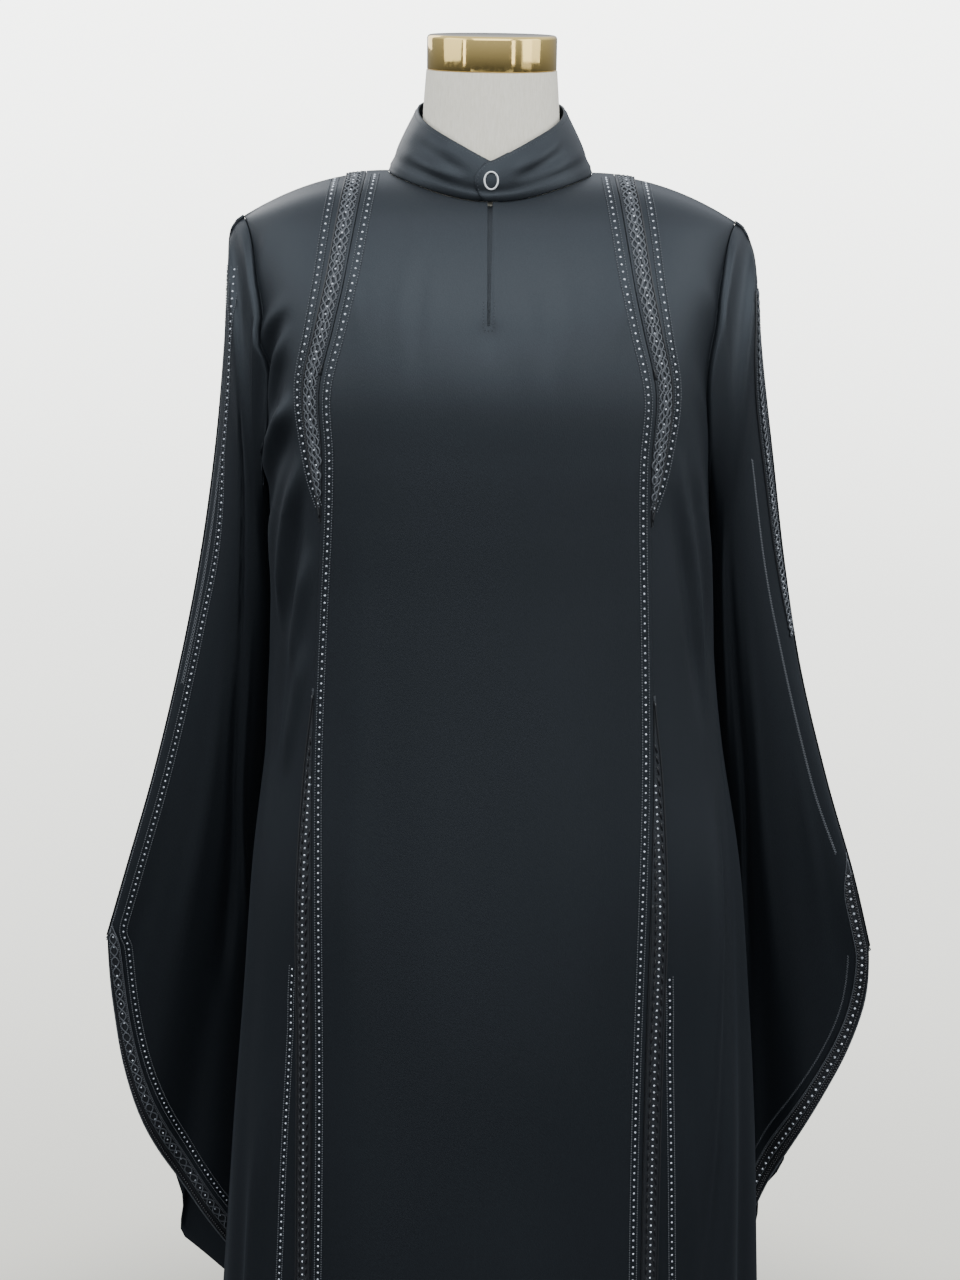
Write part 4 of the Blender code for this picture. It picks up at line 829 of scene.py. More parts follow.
def sleeve_line(side, front, shift):
    """Knots and points of one line down the sleeve. shift: 0 underarm edge, 1 overarm edge."""
    sign = side_sign(side)
    facing = -1.0 if front else 1.0
    start, away = armhole_point(side, front, UNDERARM + (SHOULDER - UNDERARM) * shift)
    first = start + away * SEAM
    swell = math.sin(math.pi * shift)
    calm = float(smoothstep(0.0, HEAD_CALM, shift))
    tip = float(smoothstep(TIP_FROM, 1.0, shift))
    knots, points = [0.0], [first]
    for line in SLEEVE_HEAD:
        push = line.push * (HEAD_LEAST + (1 - HEAD_LEAST) * calm) + SHOULDER_PUSH * tip
        lift = line.lift * calm * (1 - shift) ** 2
        fall = line.fall * (1 - SHOULDER_RISE * tip) * shift ** 2
        points.append(first + np.array([sign * push, facing * HEAD_SWELL * swell, lift - fall]))
        knots.append(line.step)
    for number, line in enumerate(SLEEVES[side], start=1):
        inner_x = body_reach(side, line.inner_y, line.inner_z) + line.clear
        inner = np.array([inner_x, line.inner_y, line.inner_z])
        run = np.array([line.outer_x, line.outer_y, line.outer_z]) - inner
        bow = line.bulge * math.sin(math.pi * shift ** BULGE_SKEW[side])
        spot = inner + run * shift + unit(np.array([run[2], 0.0, -run[0]])) * bow
        near_cuff = float(smoothstep(CUFF_FROM, LAST, number))
        spot[2] -= CORNER_DROP * near_cuff * (1 - shift) ** 3
        if not front:
            lobe = BACK_LOBE[side]
            knots_across = [part.share for part in lobe]
            out, down = (float(np.interp(shift, knots_across, [getattr(part, name) for part in lobe]))
                         for name in ("out", "drop"))
            spot = spot + np.array([out, 0.0, -down]) * near_cuff
            drop = float(smoothstep(BACK_DROP_FROM, LAST, number)) * BACK_CUFF_DROP * (1 - shift)
            drop *= math.sin(math.pi * min(shift * 1.15, 1.0)) ** 0.8
            spot = spot + np.array([BACK_DROP_OUT, 0.0, -1.0]) * drop
        power = BLUNT + BLUNT_MORE * float(smoothstep(*BLUNT_ROWS, number))
        spot[1] += facing * line.depth * max(swell, 0.0) ** power
        points.append(spot * [sign, 1.0, 1.0])
        knots.append(float(number))
    return knots, np.array(points)


def rim_lean(step):
    """Angle by which the sleeve's edges have turned from the armhole's run to face each other."""
    return smoothstep(0.1, 1.6, step) * math.pi / 2


def end_step(share):
    """Row where the cloth ends: the overarm corner of the cuff is rounded off."""
    share = np.asarray(share, float)
    return LAST - CORNER_CUT * np.clip((share - CORNER_FROM) / (1 - CORNER_FROM), 0.0, 1.0) ** 2


class Sleeve:
    """Outer face of one sleeve piece as a fine grid that trims can be laid on."""

    def __init__(self, side, front):
        self.side, self.front = side, front
        self.facing = -1.0 if front else 1.0
        self.shares = SLEEVE_SHARES
        self.lines = [sleeve_line(side, front, share) for share in self.shares]
        self.steps = np.concatenate([np.arange(24) / 24, 1 + np.arange(7 * 14) / 14, [float(LAST)]])
        self.points = self.surface(np.repeat(self.steps[:, None], len(self.shares), axis=1))
        self.normals = self.face_normals(self.points, self.steps[:, None])

    def surface(self, steps):
        """Points for an array of steps, one column for each share."""
        columns = []
        for j, (knots, line) in enumerate(self.lines):
            at = np.stack([curve(knots, line[:, axis], steps[:, j]) for axis in range(3)], axis=1)
            share, step = self.shares[j], steps[:, j]
            edge = SEAM / 2 + CLOTH * np.sin(rim_lean(step))
            rim = share in (0.0, 1.0)
            at[:, 1] += self.facing * np.where((step > 0) | rim, edge, 0.0)
            if not rim:
                relief = np.zeros(len(step))
                for fold in SLEEVE_FOLDS:
                    down = smoothstep(fold.start, fold.end, step)
                    relief += fold.rise * down * math.exp(-((share - fold.across) / fold.spread) ** 2)
                creases = SLEEVE_CREASES[self.side] if self.front else SLEEVE_BACK_CREASES
                relief += crease_height(creases, np.full(len(step), share), step, SLEEVE_ACROSS,
                                        SLEEVE_ROW)
                at[:, 1] += self.facing * relief
            columns.append(at)
        return np.stack(columns, axis=1)

    def face_normals(self, points, steps):
        """Outward normals; the edges turn from the armhole's run to two layers face to face."""
        like = np.zeros(points.shape)
        like[..., 1] = self.facing
        like[..., 0] = side_sign(self.side) * 0.3
        normals = grid_normals(points, like)
        steps = np.broadcast_to(steps, points.shape[:2])
        lean = rim_lean(steps)
        for column in (0, -1):
            along = np.gradient(points[:, column], axis=0)
            flat = unit(np.stack([along[:, 2], np.zeros(len(along)), -along[:, 0]], axis=1))
            flat = flat * side_sign(self.side) * (1.0 if column == 0 else -1.0)
            turned = lean[:, column, None]
            normals[:, column] = flat * np.cos(turned) + np.array([0.0, self.facing, 0.0]) * np.sin(turned)
        return normals

    def sample(self, step, share):
        """Points and normals at any steps and shares."""
        step = np.clip(np.asarray(step, float), 0, LAST)
        share = np.clip(np.asarray(share, float), 0, 1)
        i = np.clip(np.searchsorted(self.steps, step, side="right") - 1, 0, len(self.steps) - 2)
        j = np.clip(np.searchsorted(self.shares, share, side="right") - 1, 0, len(self.shares) - 2)
        u = ((step - self.steps[i]) / (self.steps[i + 1] - self.steps[i]))[..., None]
        v = ((share - self.shares[j]) / (self.shares[j + 1] - self.shares[j]))[..., None]

        def mix(grid):
            return ((grid[i, j] * (1 - u) + grid[i + 1, j] * u) * (1 - v)
                    + (grid[i, j + 1] * (1 - u) + grid[i + 1, j + 1] * u) * v)

        return mix(self.points), unit(mix(self.normals))

    def width(self, step):
        """Distance across the sleeve, edge to edge."""
        step = np.asarray(step, float)
        return np.linalg.norm(self.sample(step, np.ones(step.shape))[0]
                              - self.sample(step, np.zeros(step.shape))[0], axis=-1)

    def edge_path(self, start):
        """Points along the overarm edge from a row and on along the cuff, with steps and shares."""
        last = float(end_step(1.0))
        down = np.linspace(start, last, int((last - start) * 60) + 2)[:-1]
        across = np.linspace(1.0, 0.0, 241)
        steps = np.concatenate([down, end_step(across)])
        shares = np.concatenate([np.ones(len(down)), across])
        return self.sample(steps, shares)[0], steps, shares

    def border_widths(self):
        """Edge path of the border and its width at each point of that path."""
        points, _, shares = self.edge_path(BORDER_START[self.side])
        grown = smoothstep(0.0, BORDER_TAPER[self.side], run_lengths(points)) ** 0.7
        return points, np.interp(shares, *zip(*BORDER_WIDTH)) * grown, shares

    def seam_steps(self, beyond=0.0):
        """For each column, the step at which the border's inner seam crosses it."""
        edge, widths, _ = self.border_widths()
        found = np.zeros(len(self.shares))
        for k, share in enumerate(self.shares):
            steps = np.linspace(LAST - BORDER_REACH, LAST, 361)
            points = self.sample(steps, np.full(len(steps), share))[0]
            away = np.linalg.norm(points[:, None] - edge[None], axis=2)
            nearest = np.argmin(away, axis=1)
            left_over = away[np.arange(len(steps)), nearest] - widths[nearest] - beyond
            found[k] = np.interp(0.0, -np.minimum.accumulate(left_over), steps)
        return np.minimum(found, end_step(self.shares) - 0.012)

    def from_cuff(self, share, distance):
        """Steps at which these shares lie at a distance from the cuff's edge, square to it."""
        steps = np.linspace(LAST - 1.2, LAST, 121)
        edge = self.sample(np.full(241, float(LAST)), np.linspace(0, 1, 241))[0]
        found = np.zeros(len(share))
        for k, column in enumerate(share):
            points = self.sample(steps, np.full(len(steps), column))[0]
            away = np.min(np.linalg.norm(points[:, None] - edge[None], axis=2), axis=1)
            found[k] = np.interp(-distance, -np.minimum.accumulate(away), steps)
        return found

    def inside_edge(self, edge, inset):
        """Line at a distance inside an edge path, laid on the cloth."""
        steps, shares = np.meshgrid(np.linspace(LAID_FROM, LAST, 380), np.linspace(0.0, 1.0, 160),
                                    indexing="ij")
        points, normals = self.sample(steps, shares)
        points, normals = points.reshape(-1, 3), normals.reshape(-1, 3)
        flat = np.array([1.0, 0.0, 1.0])
        tree = KDTree(len(points))
        for number, point in enumerate(points):
            tree.insert(point * flat, number)
        tree.balance()

        def laid(spots):
            near = np.array([tree.find(point * flat)[1] for point in spots])
            ups = normals[near]
            steep = self.facing * np.maximum(ups[:, 1] * self.facing, LEAST_FACING)
            apart = (spots - points[near]) * flat
            depth = points[near, 1] - np.sum(apart * ups, axis=1) / steep
            return np.stack([spots[:, 0], depth, spots[:, 2]], axis=1), ups

        far = np.broadcast_to(inset, (len(edge),)).astype(float)
        way = unit(np.gradient(edge, axis=0) * flat)
        inward = np.cross(way, [0.0, 1.0, 0.0]) * -side_sign(self.side)
        spot = edge + inward * far[:, None]
        apart = np.linalg.norm((spot[:, None] - edge[None]) * flat, axis=2).min(axis=1)
        spot = laid(spot[apart > far * 0.96 - 0.0002])[0]
        run = run_lengths(spot)
        spot = values_along(np.arange(0.0, run[-1], RIM_SPACING), run, spot)
        span = RIM_SMOOTHING
        before, after = 2 * spot[:1] - spot[span:0:-1], 2 * spot[-1:] - spot[-2:-span - 2:-1]
        padded = np.concatenate([before, spot, after])
        weights = np.hanning(2 * span + 3)[1:-1]
        weights /= weights.sum()
        spot = np.stack([np.convolve(padded[:, axis], weights, mode="valid") for axis in range(3)], axis=1)
        return laid(spot)

    def wall(self, name, material, start, end):
        """Cloth wall between two arrays of steps, one value for each column."""
        shares = np.linspace(0, 1, max(int(np.max(end - start) * 14) + 24, 8))
        if np.max(start) <= 0:
            shares = np.unique(np.concatenate([self.steps / LAST, [1.0]]))
        steps = start[None, :] + (end - start)[None, :] * shares[:, None]
        points = self.surface(steps)
        normals = self.face_normals(points, steps)
        return cloth_wall(name, points, points - normals * CLOTH, material)


def make_sleeves(cloth, braid_cloth):
    """Front and back piece of each sleeve and the border of its cuff."""
    sleeves = {}
    for side in SIDES:
        front, back = Sleeve(side, True), Sleeve(side, False)
        sleeves[side] = (front, back)
        top = np.zeros(len(SLEEVE_SHARES))
        border, seam = front.seam_steps(), front.seam_steps(SEAM)
        last = end_step(SLEEVE_SHARES)
        front_wall = front.wall(f"sleeve_front_cloth_{side}", cloth, top, seam)
        place(front_wall, "black_crepe", f"sleeve_front_{side}")
        back_wall = back.wall(f"sleeve_back_cloth_{side}", cloth, top, last)
        place(back_wall, "black_crepe", f"sleeve_back_{side}")
        border_wall = front.wall(f"cuff_border_{side}", braid_cloth, border, last)
        place(border_wall, "black_braid", f"cuff_braid_{side}")
    return sleeves


# Trims

def trail(points, normals, pitch):
    """Even spacing along a line: points, directions and normals."""
    lengths = run_lengths(points)
    count = max(int(round(lengths[-1] / pitch)), 1)
    at = (np.arange(count) + 0.5) * lengths[-1] / count
    spots = values_along(at, lengths, points)
    ups = unit(values_along(at, lengths, normals))
    ways = unit(values_along(at + 0.001, lengths, points) - values_along(at - 0.001, lengths, points))
    return spots, unit(ways - np.sum(ways * ups, axis=1, keepdims=True) * ups), ups


def stone_shape(sides):
    """Cut stone with a flat top. Rings of radius and height, one for each edge."""
    across, ahead = ring(sides)
    points = [(radius * x, radius * y, height) for radius, height in ((1.0, 0.0), (1.0, 0.28), (0.56, 0.86))
              for x, y in zip(across, ahead)]
    return points, tube_faces(3, sides)


def bead_shape(around, high):
    """Round bead with a point at each end."""
    across, ahead = ring(around)
    points = [(0.0, 0.0, -1.0)]
    for number in range(1, high):
        angle = -math.pi / 2 + math.pi * number / high
        radius, height = math.cos(angle), math.sin(angle)
        points += [(radius * x, radius * y, height) for x, y in zip(across, ahead)]
    points.append((0.0, 0.0, 1.0))
    top = len(points) - 1
    faces = [(0, 1 + (k + 1) % around, 1 + k) for k in range(around)]
    faces += [tuple(1 + corner for corner in face) for face in tube_faces(high - 1, around)[:-2]]
    faces += [(top, top - around + k, top - around + (k + 1) % around) for k in range(around)]
    return points, faces


class Basket:
    """Collects many small copies and tubes, and joins those of one kind into one mesh."""

    def __init__(self, random):
        self.random = random
        self.parts = {}

    def copies(self, name, spots, ways, ups, sizes, lift=0.0, slant=0.0, tilt=0.0):
        """Adds a copy at each spot. sizes: across, along, up; slant: turn in the surface;
        tilt: how unevenly they lie."""
        ways = ways * math.cos(slant) + np.cross(ways, ups) * math.sin(slant)
        across = np.cross(ways, ups)
        if tilt:
            lean = self.random.normal(0.0, tilt, (len(spots), 2))
            ups = unit(ups + across * lean[:, :1] + ways * lean[:, 1:])
            across = unit(np.cross(ways, ups))
            ways = np.cross(ups, across)
        scales = np.broadcast_to(np.asarray(sizes, float), (len(spots), 3))
        self.parts.setdefault(name, []).append((spots + ups * lift, across, ways, ups, scales))

    def tube(self, name, points, normals, radius, lift=0.0, pitch=0.003, sides=6, sway=0.0, wave=0.0):
        """Adds a round cord along a line; sway and wave make it zigzag in the surface."""
        spots, ways, ups = trail(points, normals, pitch)
        across = np.cross(ways, ups)
        if sway:
            phase = 2 * math.pi * np.arange(len(spots)) * pitch / wave
            spots = spots + across * (sway * np.sin(phase))[:, None]
            ways = unit(np.gradient(spots, axis=0))
            across = unit(np.cross(ways, ups))
        spots = spots + ups * lift
        aside, over = (radius * part[None, :, None] for part in ring(sides))
        rings = spots[:, None] + across[:, None] * aside + ups[:, None] * over
        self.parts.setdefault(name, []).append(rings)

    def build_copies(self, name, shape, material, slot, smooth):
        points, faces = shape
        groups = self.parts[name]
        frames = [np.concatenate([group[k] for group in groups]) for k in range(5)]
        place(joined(name, points, faces, frames[:4], frames[4], material, smooth), slot)

    def build_tubes(self, name, material, slot):
        points, faces, base = [], [], 0
        for rings in self.parts[name]:
            faces += [face[::-1] for face in tube_faces(*rings.shape[:2], base)]
            points.append(rings.reshape(-1, 3))
            base += len(points[-1])
        place(new_mesh(name, np.concatenate(points), faces, material), slot)


def body_line(side, offsets, rows, out):
    """Line on the body that lies a distance beyond the centre panel's edge at each row."""
    turns = lap_turn(side, rows, offsets)
    return body_point(turns, rows, out), body_normal(turns, rows)


def rows_for_line(start, end):
    """Body rows close enough together for a line of trims."""
    return np.linspace(start, end, int(abs(end - start) * 36) + 8)


def add_stones(basket, points, normals, pitch=BRAID_STONE_PITCH, size=1.0, unrest=1.0):
    """A line of stones. size and unrest: how large and how unevenly set, 1 the usual."""
    basket.copies("rhinestones", *trail(points, normals, pitch), (STONE_RADIUS * size,) * 3,
                  tilt=STONE_TILT * unrest)


def add_beads(basket, points, normals):
    """A line of dark beads."""
    basket.copies("dark_beads", *trail(points, normals, BEAD_PITCH), BEAD_SIZE, lift=BEAD_LIFT,
                  tilt=BEAD_TILT)


def add_stone_row(basket, points, normals):
    """A row of stones between two dotted cords."""
    add_stones(basket, points, normals, STONE_PITCH)
    across = unit(np.cross(np.gradient(points, axis=0), normals))
    for side in (-1, 1):
        add_dots(basket, points + across * side * ROW_CORD_GAP, normals)


def add_dots(basket, points, normals, size=FINE_CORD):
    """A fine cord that reads as a row of dots."""
    basket.copies("dotted_cords", *trail(points, normals, DOT_PITCH), (size, DOT_PITCH * 0.40, size),
                  lift=size * 0.6)


def add_zigzag(basket, points, normals, reach=ZIGZAG_REACH, radius=ZIGZAG_CORD, wave=ZIGZAG_WAVE):
    """Two cords that cross each other and leave lozenges between them."""
    for sway in (-reach, reach):
        basket.tube("zigzag_cords", points, normals, radius, lift=radius * 0.8, pitch=wave / 8, sides=5,
                    sway=sway, wave=wave)


def add_zigzag_stitches(basket, points, normals, radius, pitch, sway):
    """One thin thread to and fro. pitch: of its points; sway: reach to each side."""
    basket.tube("zigzag_cords", points, normals, radius, pitch=pitch, sides=4, sway=sway,
                wave=STITCHED_WAVE)


def add_stitches(basket, points, normals):
    basket.copies("stitches", *trail(points, normals, STITCH_PITCH),
                  (STITCH_HALF_WIDTH, STITCH_PITCH * 0.36, STITCH_HALF_WIDTH), lift=0.0001)


def row_at(level):
    """Body row at a height."""
    return np.interp(level, body_value("level", BODY_ROWS_DENSE), BODY_ROWS_DENSE)


def add_body_trims(basket, side):
    """Rows of stones and the braid of one side of the front."""
    points, normals = body_line(side, -INNER_ROW_INSET, rows_for_line(*INNER_ROW), CLOTH + SEAM)
    add_stone_row(basket, points, normals)
    for table in (OUTER_ABOVE, OUTER_BELOW[side]):
        low, high = table[0][0], min(table[-1][0], OUTER_TOP)
        levels = np.linspace(low, high, int((high - low) / ROW_SPACING))
        rows = row_at(levels)
        offsets = curve(*zip(*table), levels)
        under = 1 - smoothstep(0.0, OUTER_EASE, offsets - OUTER_OFF_BRAID - body_value("braid", rows))
        points, normals = body_line(side, offsets, rows, (SEAM + BRAID_THICK) * under)
        add_stone_row(basket, points, normals)
    for part in ("chest", "skirt"):
        add_braid(basket, side, part)


def add_braid(basket, side, part):
    """What is sewn on one length of braid. Lines stop where the braid slips under the centre panel."""
    rows = rows_for_line(*BRAID_ROWS[part])
    width = body_value("braid", rows)

    def line(from_outer):
        offset = width - from_outer
        keep = offset > BRAID_SHOWS
        return body_line(side, offset[keep], rows[keep], SEAM + BRAID_THICK)

    for from_outer in BRAID_CORDS[part]:
        basket.tube("braid_cords", *line(from_outer), EDGE_CORD, lift=EDGE_CORD * 0.5)
    if part == "chest":
        for from_outer in CHEST_DOTS:
            add_dots(basket, *line(from_outer))
        for from_outer, reach, wave in CHEST_ZIGZAGS:
            add_zigzag(basket, *line(from_outer), reach, CHEST_ZIGZAG_CORD, wave)
    else:
        for from_outer, turn in SKIRT_RODS:
            spots, ways, ups = trail(*line(from_outer), ROD_PITCH)
            basket.copies("rods", spots, ways, ups, ROD_SIZE, ROD_LIFT, ROD_SLANT * turn)
    add_stones(basket, *line(BRAID_STONES[part]))


def add_cuff_border(basket, front):
    """Cords, zigzag, stones and beads of the braided border of the cuff."""
    edge, widths, shares = front.border_widths()
    grown = widths / np.interp(shares, *zip(*BORDER_WIDTH))
    wide = grown > BORDER_GROWN

    def from_seam(distance):
        return front.inside_edge(edge[wide], (widths - distance * grown)[wide])

    def from_edge(share):
        return front.inside_edge(edge[wide], widths[wide] * share)

    basket.tube("zigzag_cords", *front.inside_edge(edge, widths - SEAM_CORD_INSET), RIM_CORD, lift=0.0002)
    basket.tube("braid_cords", *from_seam(BORDER_BRAID), EDGE_CORD, lift=EDGE_CORD * 0.5)
    basket.tube("zigzag_cords", *front.inside_edge(edge[4:], EDGE_CORD), EDGE_CORD * 0.8)
    for distance in BORDER_DOTS:
        add_dots(basket, *from_seam(distance))
    if front.side == "left":
        middle = from_seam(BORDER_BRAID * 0.54)
        add_zigzag(basket, *middle, *LEFT_BORDER_ZIGZAG)
        add_stones(basket, *middle, 0.0100, 0.9, 2.0)
    else:
        add_stones(basket, *from_edge(BORDER_MIDDLE), 0.0078, 1.3, 2.0)
        for share in BEAD_ROWS:
            add_beads(basket, *from_edge(share))
    beyond = widths - BORDER_BRAID
    low = beyond > PLAIN_BORDER
    add_beads(basket, *front.inside_edge(edge[low], beyond[low] * BORDER_MIDDLE))


def add_left_rim(basket, front):
    """Stones and cords along the overarm edge and the cuff of the left sleeve."""
    _, widths, _ = front.border_widths()
    edge, steps, shares = front.edge_path(1.0)
    on_border = np.concatenate([np.zeros(len(edge) - len(widths)), widths])
    inset = np.maximum(curve(*zip(*LEFT_RIM_ROW), steps), on_border + ROW_INSIDE_BORDER)
    keep = shares > 0.02
    add_stone_row(basket, *front.inside_edge(edge[keep], inset[keep]))
    rim = shares > 0.999
    add_dots(basket, *front.inside_edge(edge[rim][:-6], RIM_DOT_INSET), RIM_DOT)
    middle = (steps > LEFT_RIM_ROWS[0]) & (steps < LEFT_RIM_ROWS[1]) & rim
    add_zigzag(basket, *front.inside_edge(edge[middle], LEFT_RIM_INSET), *LEFT_RIM_ZIGZAG)


def add_right_rim(basket, front):
    """Braid along the upper overarm edge of the right sleeve and its two stitched rows."""
    edge, widths, shares = front.border_widths()
    keep = (shares < 0.995) & (shares > 0.02)
    faint = front.inside_edge(edge[keep], (widths + ROW_INSIDE_BORDER)[keep])
    add_zigzag_stitches(basket, *faint, 0.00030, 0.0006, 0.0009)
    path, steps, _ = front.edge_path(RIGHT_RIM_BRAID[0][0])
    upper = steps < RIGHT_RIM_BRAID[-1][0]
    path, width = path[upper], curve(*zip(*RIGHT_RIM_BRAID), steps[upper])
    add_dots(basket, *front.inside_edge(path, RIM_DOT_INSET), RIM_DOT)
    basket.tube("braid_cords", *front.inside_edge(path, width), EDGE_CORD, lift=EDGE_CORD * 0.5)
    add_dots(basket, *front.inside_edge(path, width * 0.80))
    middle = front.inside_edge(path, width * 0.46)
    add_zigzag(basket, *middle, *RIGHT_RIM_ZIGZAG)
    add_stones(basket, *middle, BRAID_STONE_PITCH, 0.9, 1.6)
    path, steps, _ = front.edge_path(RIGHT_STITCHED_ROW[0][0])
    upper = steps < RIGHT_STITCHED_ROW[-1][0]
    row = front.inside_edge(path[upper], curve(*zip(*RIGHT_STITCHED_ROW), steps[upper]))
    add_zigzag_stitches(basket, *row, 0.00045, 0.0005, 0.0011)


def add_sleeve_trims(basket, side, front, back):
    """All that is sewn on one sleeve: border, rim, rolled seam, overarm braid and stitches."""
    add_cuff_border(basket, front)
    if side == "left":
        add_left_rim(basket, front)
    else:
        add_right_rim(basket, front)
    steps = np.linspace(0.02, 1.20, 48)
    basket.tube("braid_cords", *front.sample(steps, np.ones(len(steps))), SEAM_WELT)
    steps = np.linspace(1.02, float(end_step(1.0)) - 0.02, 150)
    for inset in OVERARM_CORDS:
        basket.tube("braid_cords", *braid_line(back, steps, inset), EDGE_CORD, lift=EDGE_CORD * 0.5)
    middle = braid_line(back, steps, OVERARM_MIDDLE)
    add_zigzag(basket, *middle)
    add_stones(basket, *middle)
    shares = np.linspace(0.02, 0.90, 110)
    add_stitches(basket, *back.sample(back.from_cuff(shares, CUFF_STITCH_INSET), shares))


def braid_share(sleeve, steps, inset):
    """Share of the sleeve's width that lies this far inside the overarm edge."""
    return 1 - inset / sleeve.width(steps)


def braid_line(sleeve, steps, inset):
    """Line on the overarm braid, this far inside the edge."""
    points, normals = sleeve.sample(steps, braid_share(sleeve, steps, inset))
    return points + normals * (SEAM + BRAID_THICK), normals


def make_overarm_braid(side, back, material):
    """Plain braid on the back sleeve piece, along the overarm edge."""
    steps = np.linspace(1.0, float(end_step(1.0)), 130)
    insets = np.linspace(SLEEVE_BRAID_WIDTH + SEAM, 0.0, 7)
    columns = [back.sample(steps, braid_share(back, steps, inset)) for inset in insets]
    points = np.stack([column[0] for column in columns], axis=1)
    normals = np.stack([column[1] for column in columns], axis=1)
    item = cloth_wall(f"overarm_braid_cloth_{side}", points + normals * (SEAM + BRAID_THICK),
                      points + normals * SEAM, material)
    place(item, "black_braid", f"overarm_braid_{side}")


# Body panels

def squeezed_rows(rows, ends):
    """Rows of each column, squeezed above SQUEEZE so that it ends at its own row."""
    rows, ends = rows[:, None], ends[None, :]
    return np.where(rows <= SQUEEZE, rows + 0 * ends,
                    SQUEEZE + (rows - SQUEEZE) * (ends - SQUEEZE) / (SHOULDER - SQUEEZE))


def make_centre_panel(material):
    """Centre front, lapped over the side fronts, with the neck slit."""
    top = BODY[-1].princess
    inside = NECK_HALF_WIDTH * np.sin(np.radians(np.linspace(-90, 90, 53))) / top
    edge = np.linspace(inside[-1], 1.0, 9)[1:]
    near = np.array(SLIT_COLUMNS) / top
    shares = np.unique(np.concatenate([-edge, -near, inside, near, edge]))
    ends = np.array([SHOULDER if abs(share) * top >= NECK_HALF_WIDTH - 1e-6 else neck_row(share * top)
                     for share in shares])
    rows = squeezed_rows(rows_from(0, SHOULDER), ends)
    turns = turn_at(shares[None, :] * body_value("princess", rows), rows)
    item = body_panel("centre_panel_cloth", turns, rows, material, out=CLOTH + SEAM, seam_y=-SEAM / 2)
    cut_slit(item)
    place(item, "black_crepe", "front_centre_panel")


def cut_slit(item):
    """Cuts the neck slit, a little wider at its top, into the centre panel."""
    top = body_point(0.0, neck_row(0.0))
    ahead, behind = top[1] - BLADE_REACH, top[1] + BLADE_REACH
    corners = []
    for z, half in ((top[2] - SLIT_LENGTH, SLIT_WIDTH * 0.5), (top[2] + BLADE_RISE, SLIT_WIDTH * 0.9)):
        corners += [(-half, ahead, z), (half, ahead, z), (half, behind, z), (-half, behind, z)]
    faces = [(3, 2, 1, 0), (4, 5, 6, 7), (0, 1, 5, 4), (1, 2, 6, 5), (2, 3, 7, 6), (3, 0, 4, 7)]
    blade = new_mesh("slit_blade", corners, faces, item.data.materials[0], smooth=False)
    cut = item.modifiers.new("slit", "BOOLEAN")
    cut.operation = "DIFFERENCE"
    cut.solver = "EXACT"
    cut.object = blade
    bpy.context.view_layer.update()
    shaped = bpy.data.meshes.new_from_object(item.evaluated_get(bpy.context.evaluated_depsgraph_get()))
    item.modifiers.remove(cut)
    item.data = shaped
    item.data.set_sharp_from_angle(angle=math.radians(60))
    bpy.data.objects.remove(blade)


def make_slit_facing(material):
    """Narrow strip of the same cloth sewn behind the slit."""
    rows = np.linspace(float(row_at(SLIT_TOP - SLIT_LENGTH - 0.006)), neck_row(0.0) - 0.02, 40)[:, None]
    shares = np.linspace(-1, 1, 9)[None, :]
    turns = turn_at(shares * FACING_HALF_WIDTH + 0 * rows, rows + 0 * shares)
    item = body_panel("slit_facing", turns, rows + 0 * turns, material, out=-FACING_DEPTH,
                      thick=FACING_THICK)
    place(item, "black_crepe")


def add_slit_stitches(basket):
    """Short rows beside the lower end of the slit and the bar across it."""
    low = SLIT_TOP - SLIT_LENGTH
    out = CLOTH + SEAM
    rows = row_at(np.linspace(low - 0.002, low + SLIT_STITCH_RISE, 12))
    for aside in (-SLIT_STITCH_ASIDE, SLIT_STITCH_ASIDE):
        turns = turn_at(np.full(len(rows), aside), rows)
        add_stitches(basket, body_point(turns, rows, out), body_normal(turns, rows))
    for level in (low - 0.0035, low - 0.0045):
        x = np.linspace(-SLIT_STITCH_ASIDE, SLIT_STITCH_ASIDE, 9)
        row = np.full(len(x), float(row_at(level)))
        turns = turn_at(x, row)
        add_stitches(basket, body_point(turns, row, out), body_normal(turns, row))


def add_hem_stitches(basket):
    """One row round the skirt's hem, on each panel's own face."""
    row = float(row_at(HEM_STITCH_LEVEL))
    edge = {side: float(lap_turn(side, row, 0.0)) for side in SIDES}
    braid = {side: float(lap_turn(side, row, BRAID_WIDTH + 0.003)) for side in SIDES}
    spans = [(edge["left"] * 0.99, edge["right"] * 0.99, CLOTH + SEAM), (-1.0, braid["left"], 0.0),
             (braid["right"], 1.0, 0.0), (1.0, 2.0, 0.0), (-2.0, -1.0, 0.0)]
    for start, end, out in spans:
        turns = np.linspace(start, end, 160)
        rows = np.full(160, row)
        add_stitches(basket, body_point(turns, rows, out), body_normal(turns, rows))


def make_side_front(side, material):
    """Side front, from beneath the centre panel to the side seam and the armhole."""
    rows = rows_from(0, SHOULDER)[:, None]
    under = np.array([-LAP, -LAP * 0.6, -LAP * 0.25])
    edge = armhole_turn(side, rows)
    start = lap_turn(side, rows, SEAM)
    spread = start + (edge - start) * np.linspace(0, 1, 34)[None, :]
    turns = np.concatenate([lap_turn(side, rows + 0 * under[None, :], under[None, :]), spread], axis=1)
    item = body_panel(f"side_front_cloth_{side}", turns, rows + 0 * turns, material, seam_y=-SEAM / 2)
    place(item, "black_crepe", f"side_front_{side}")


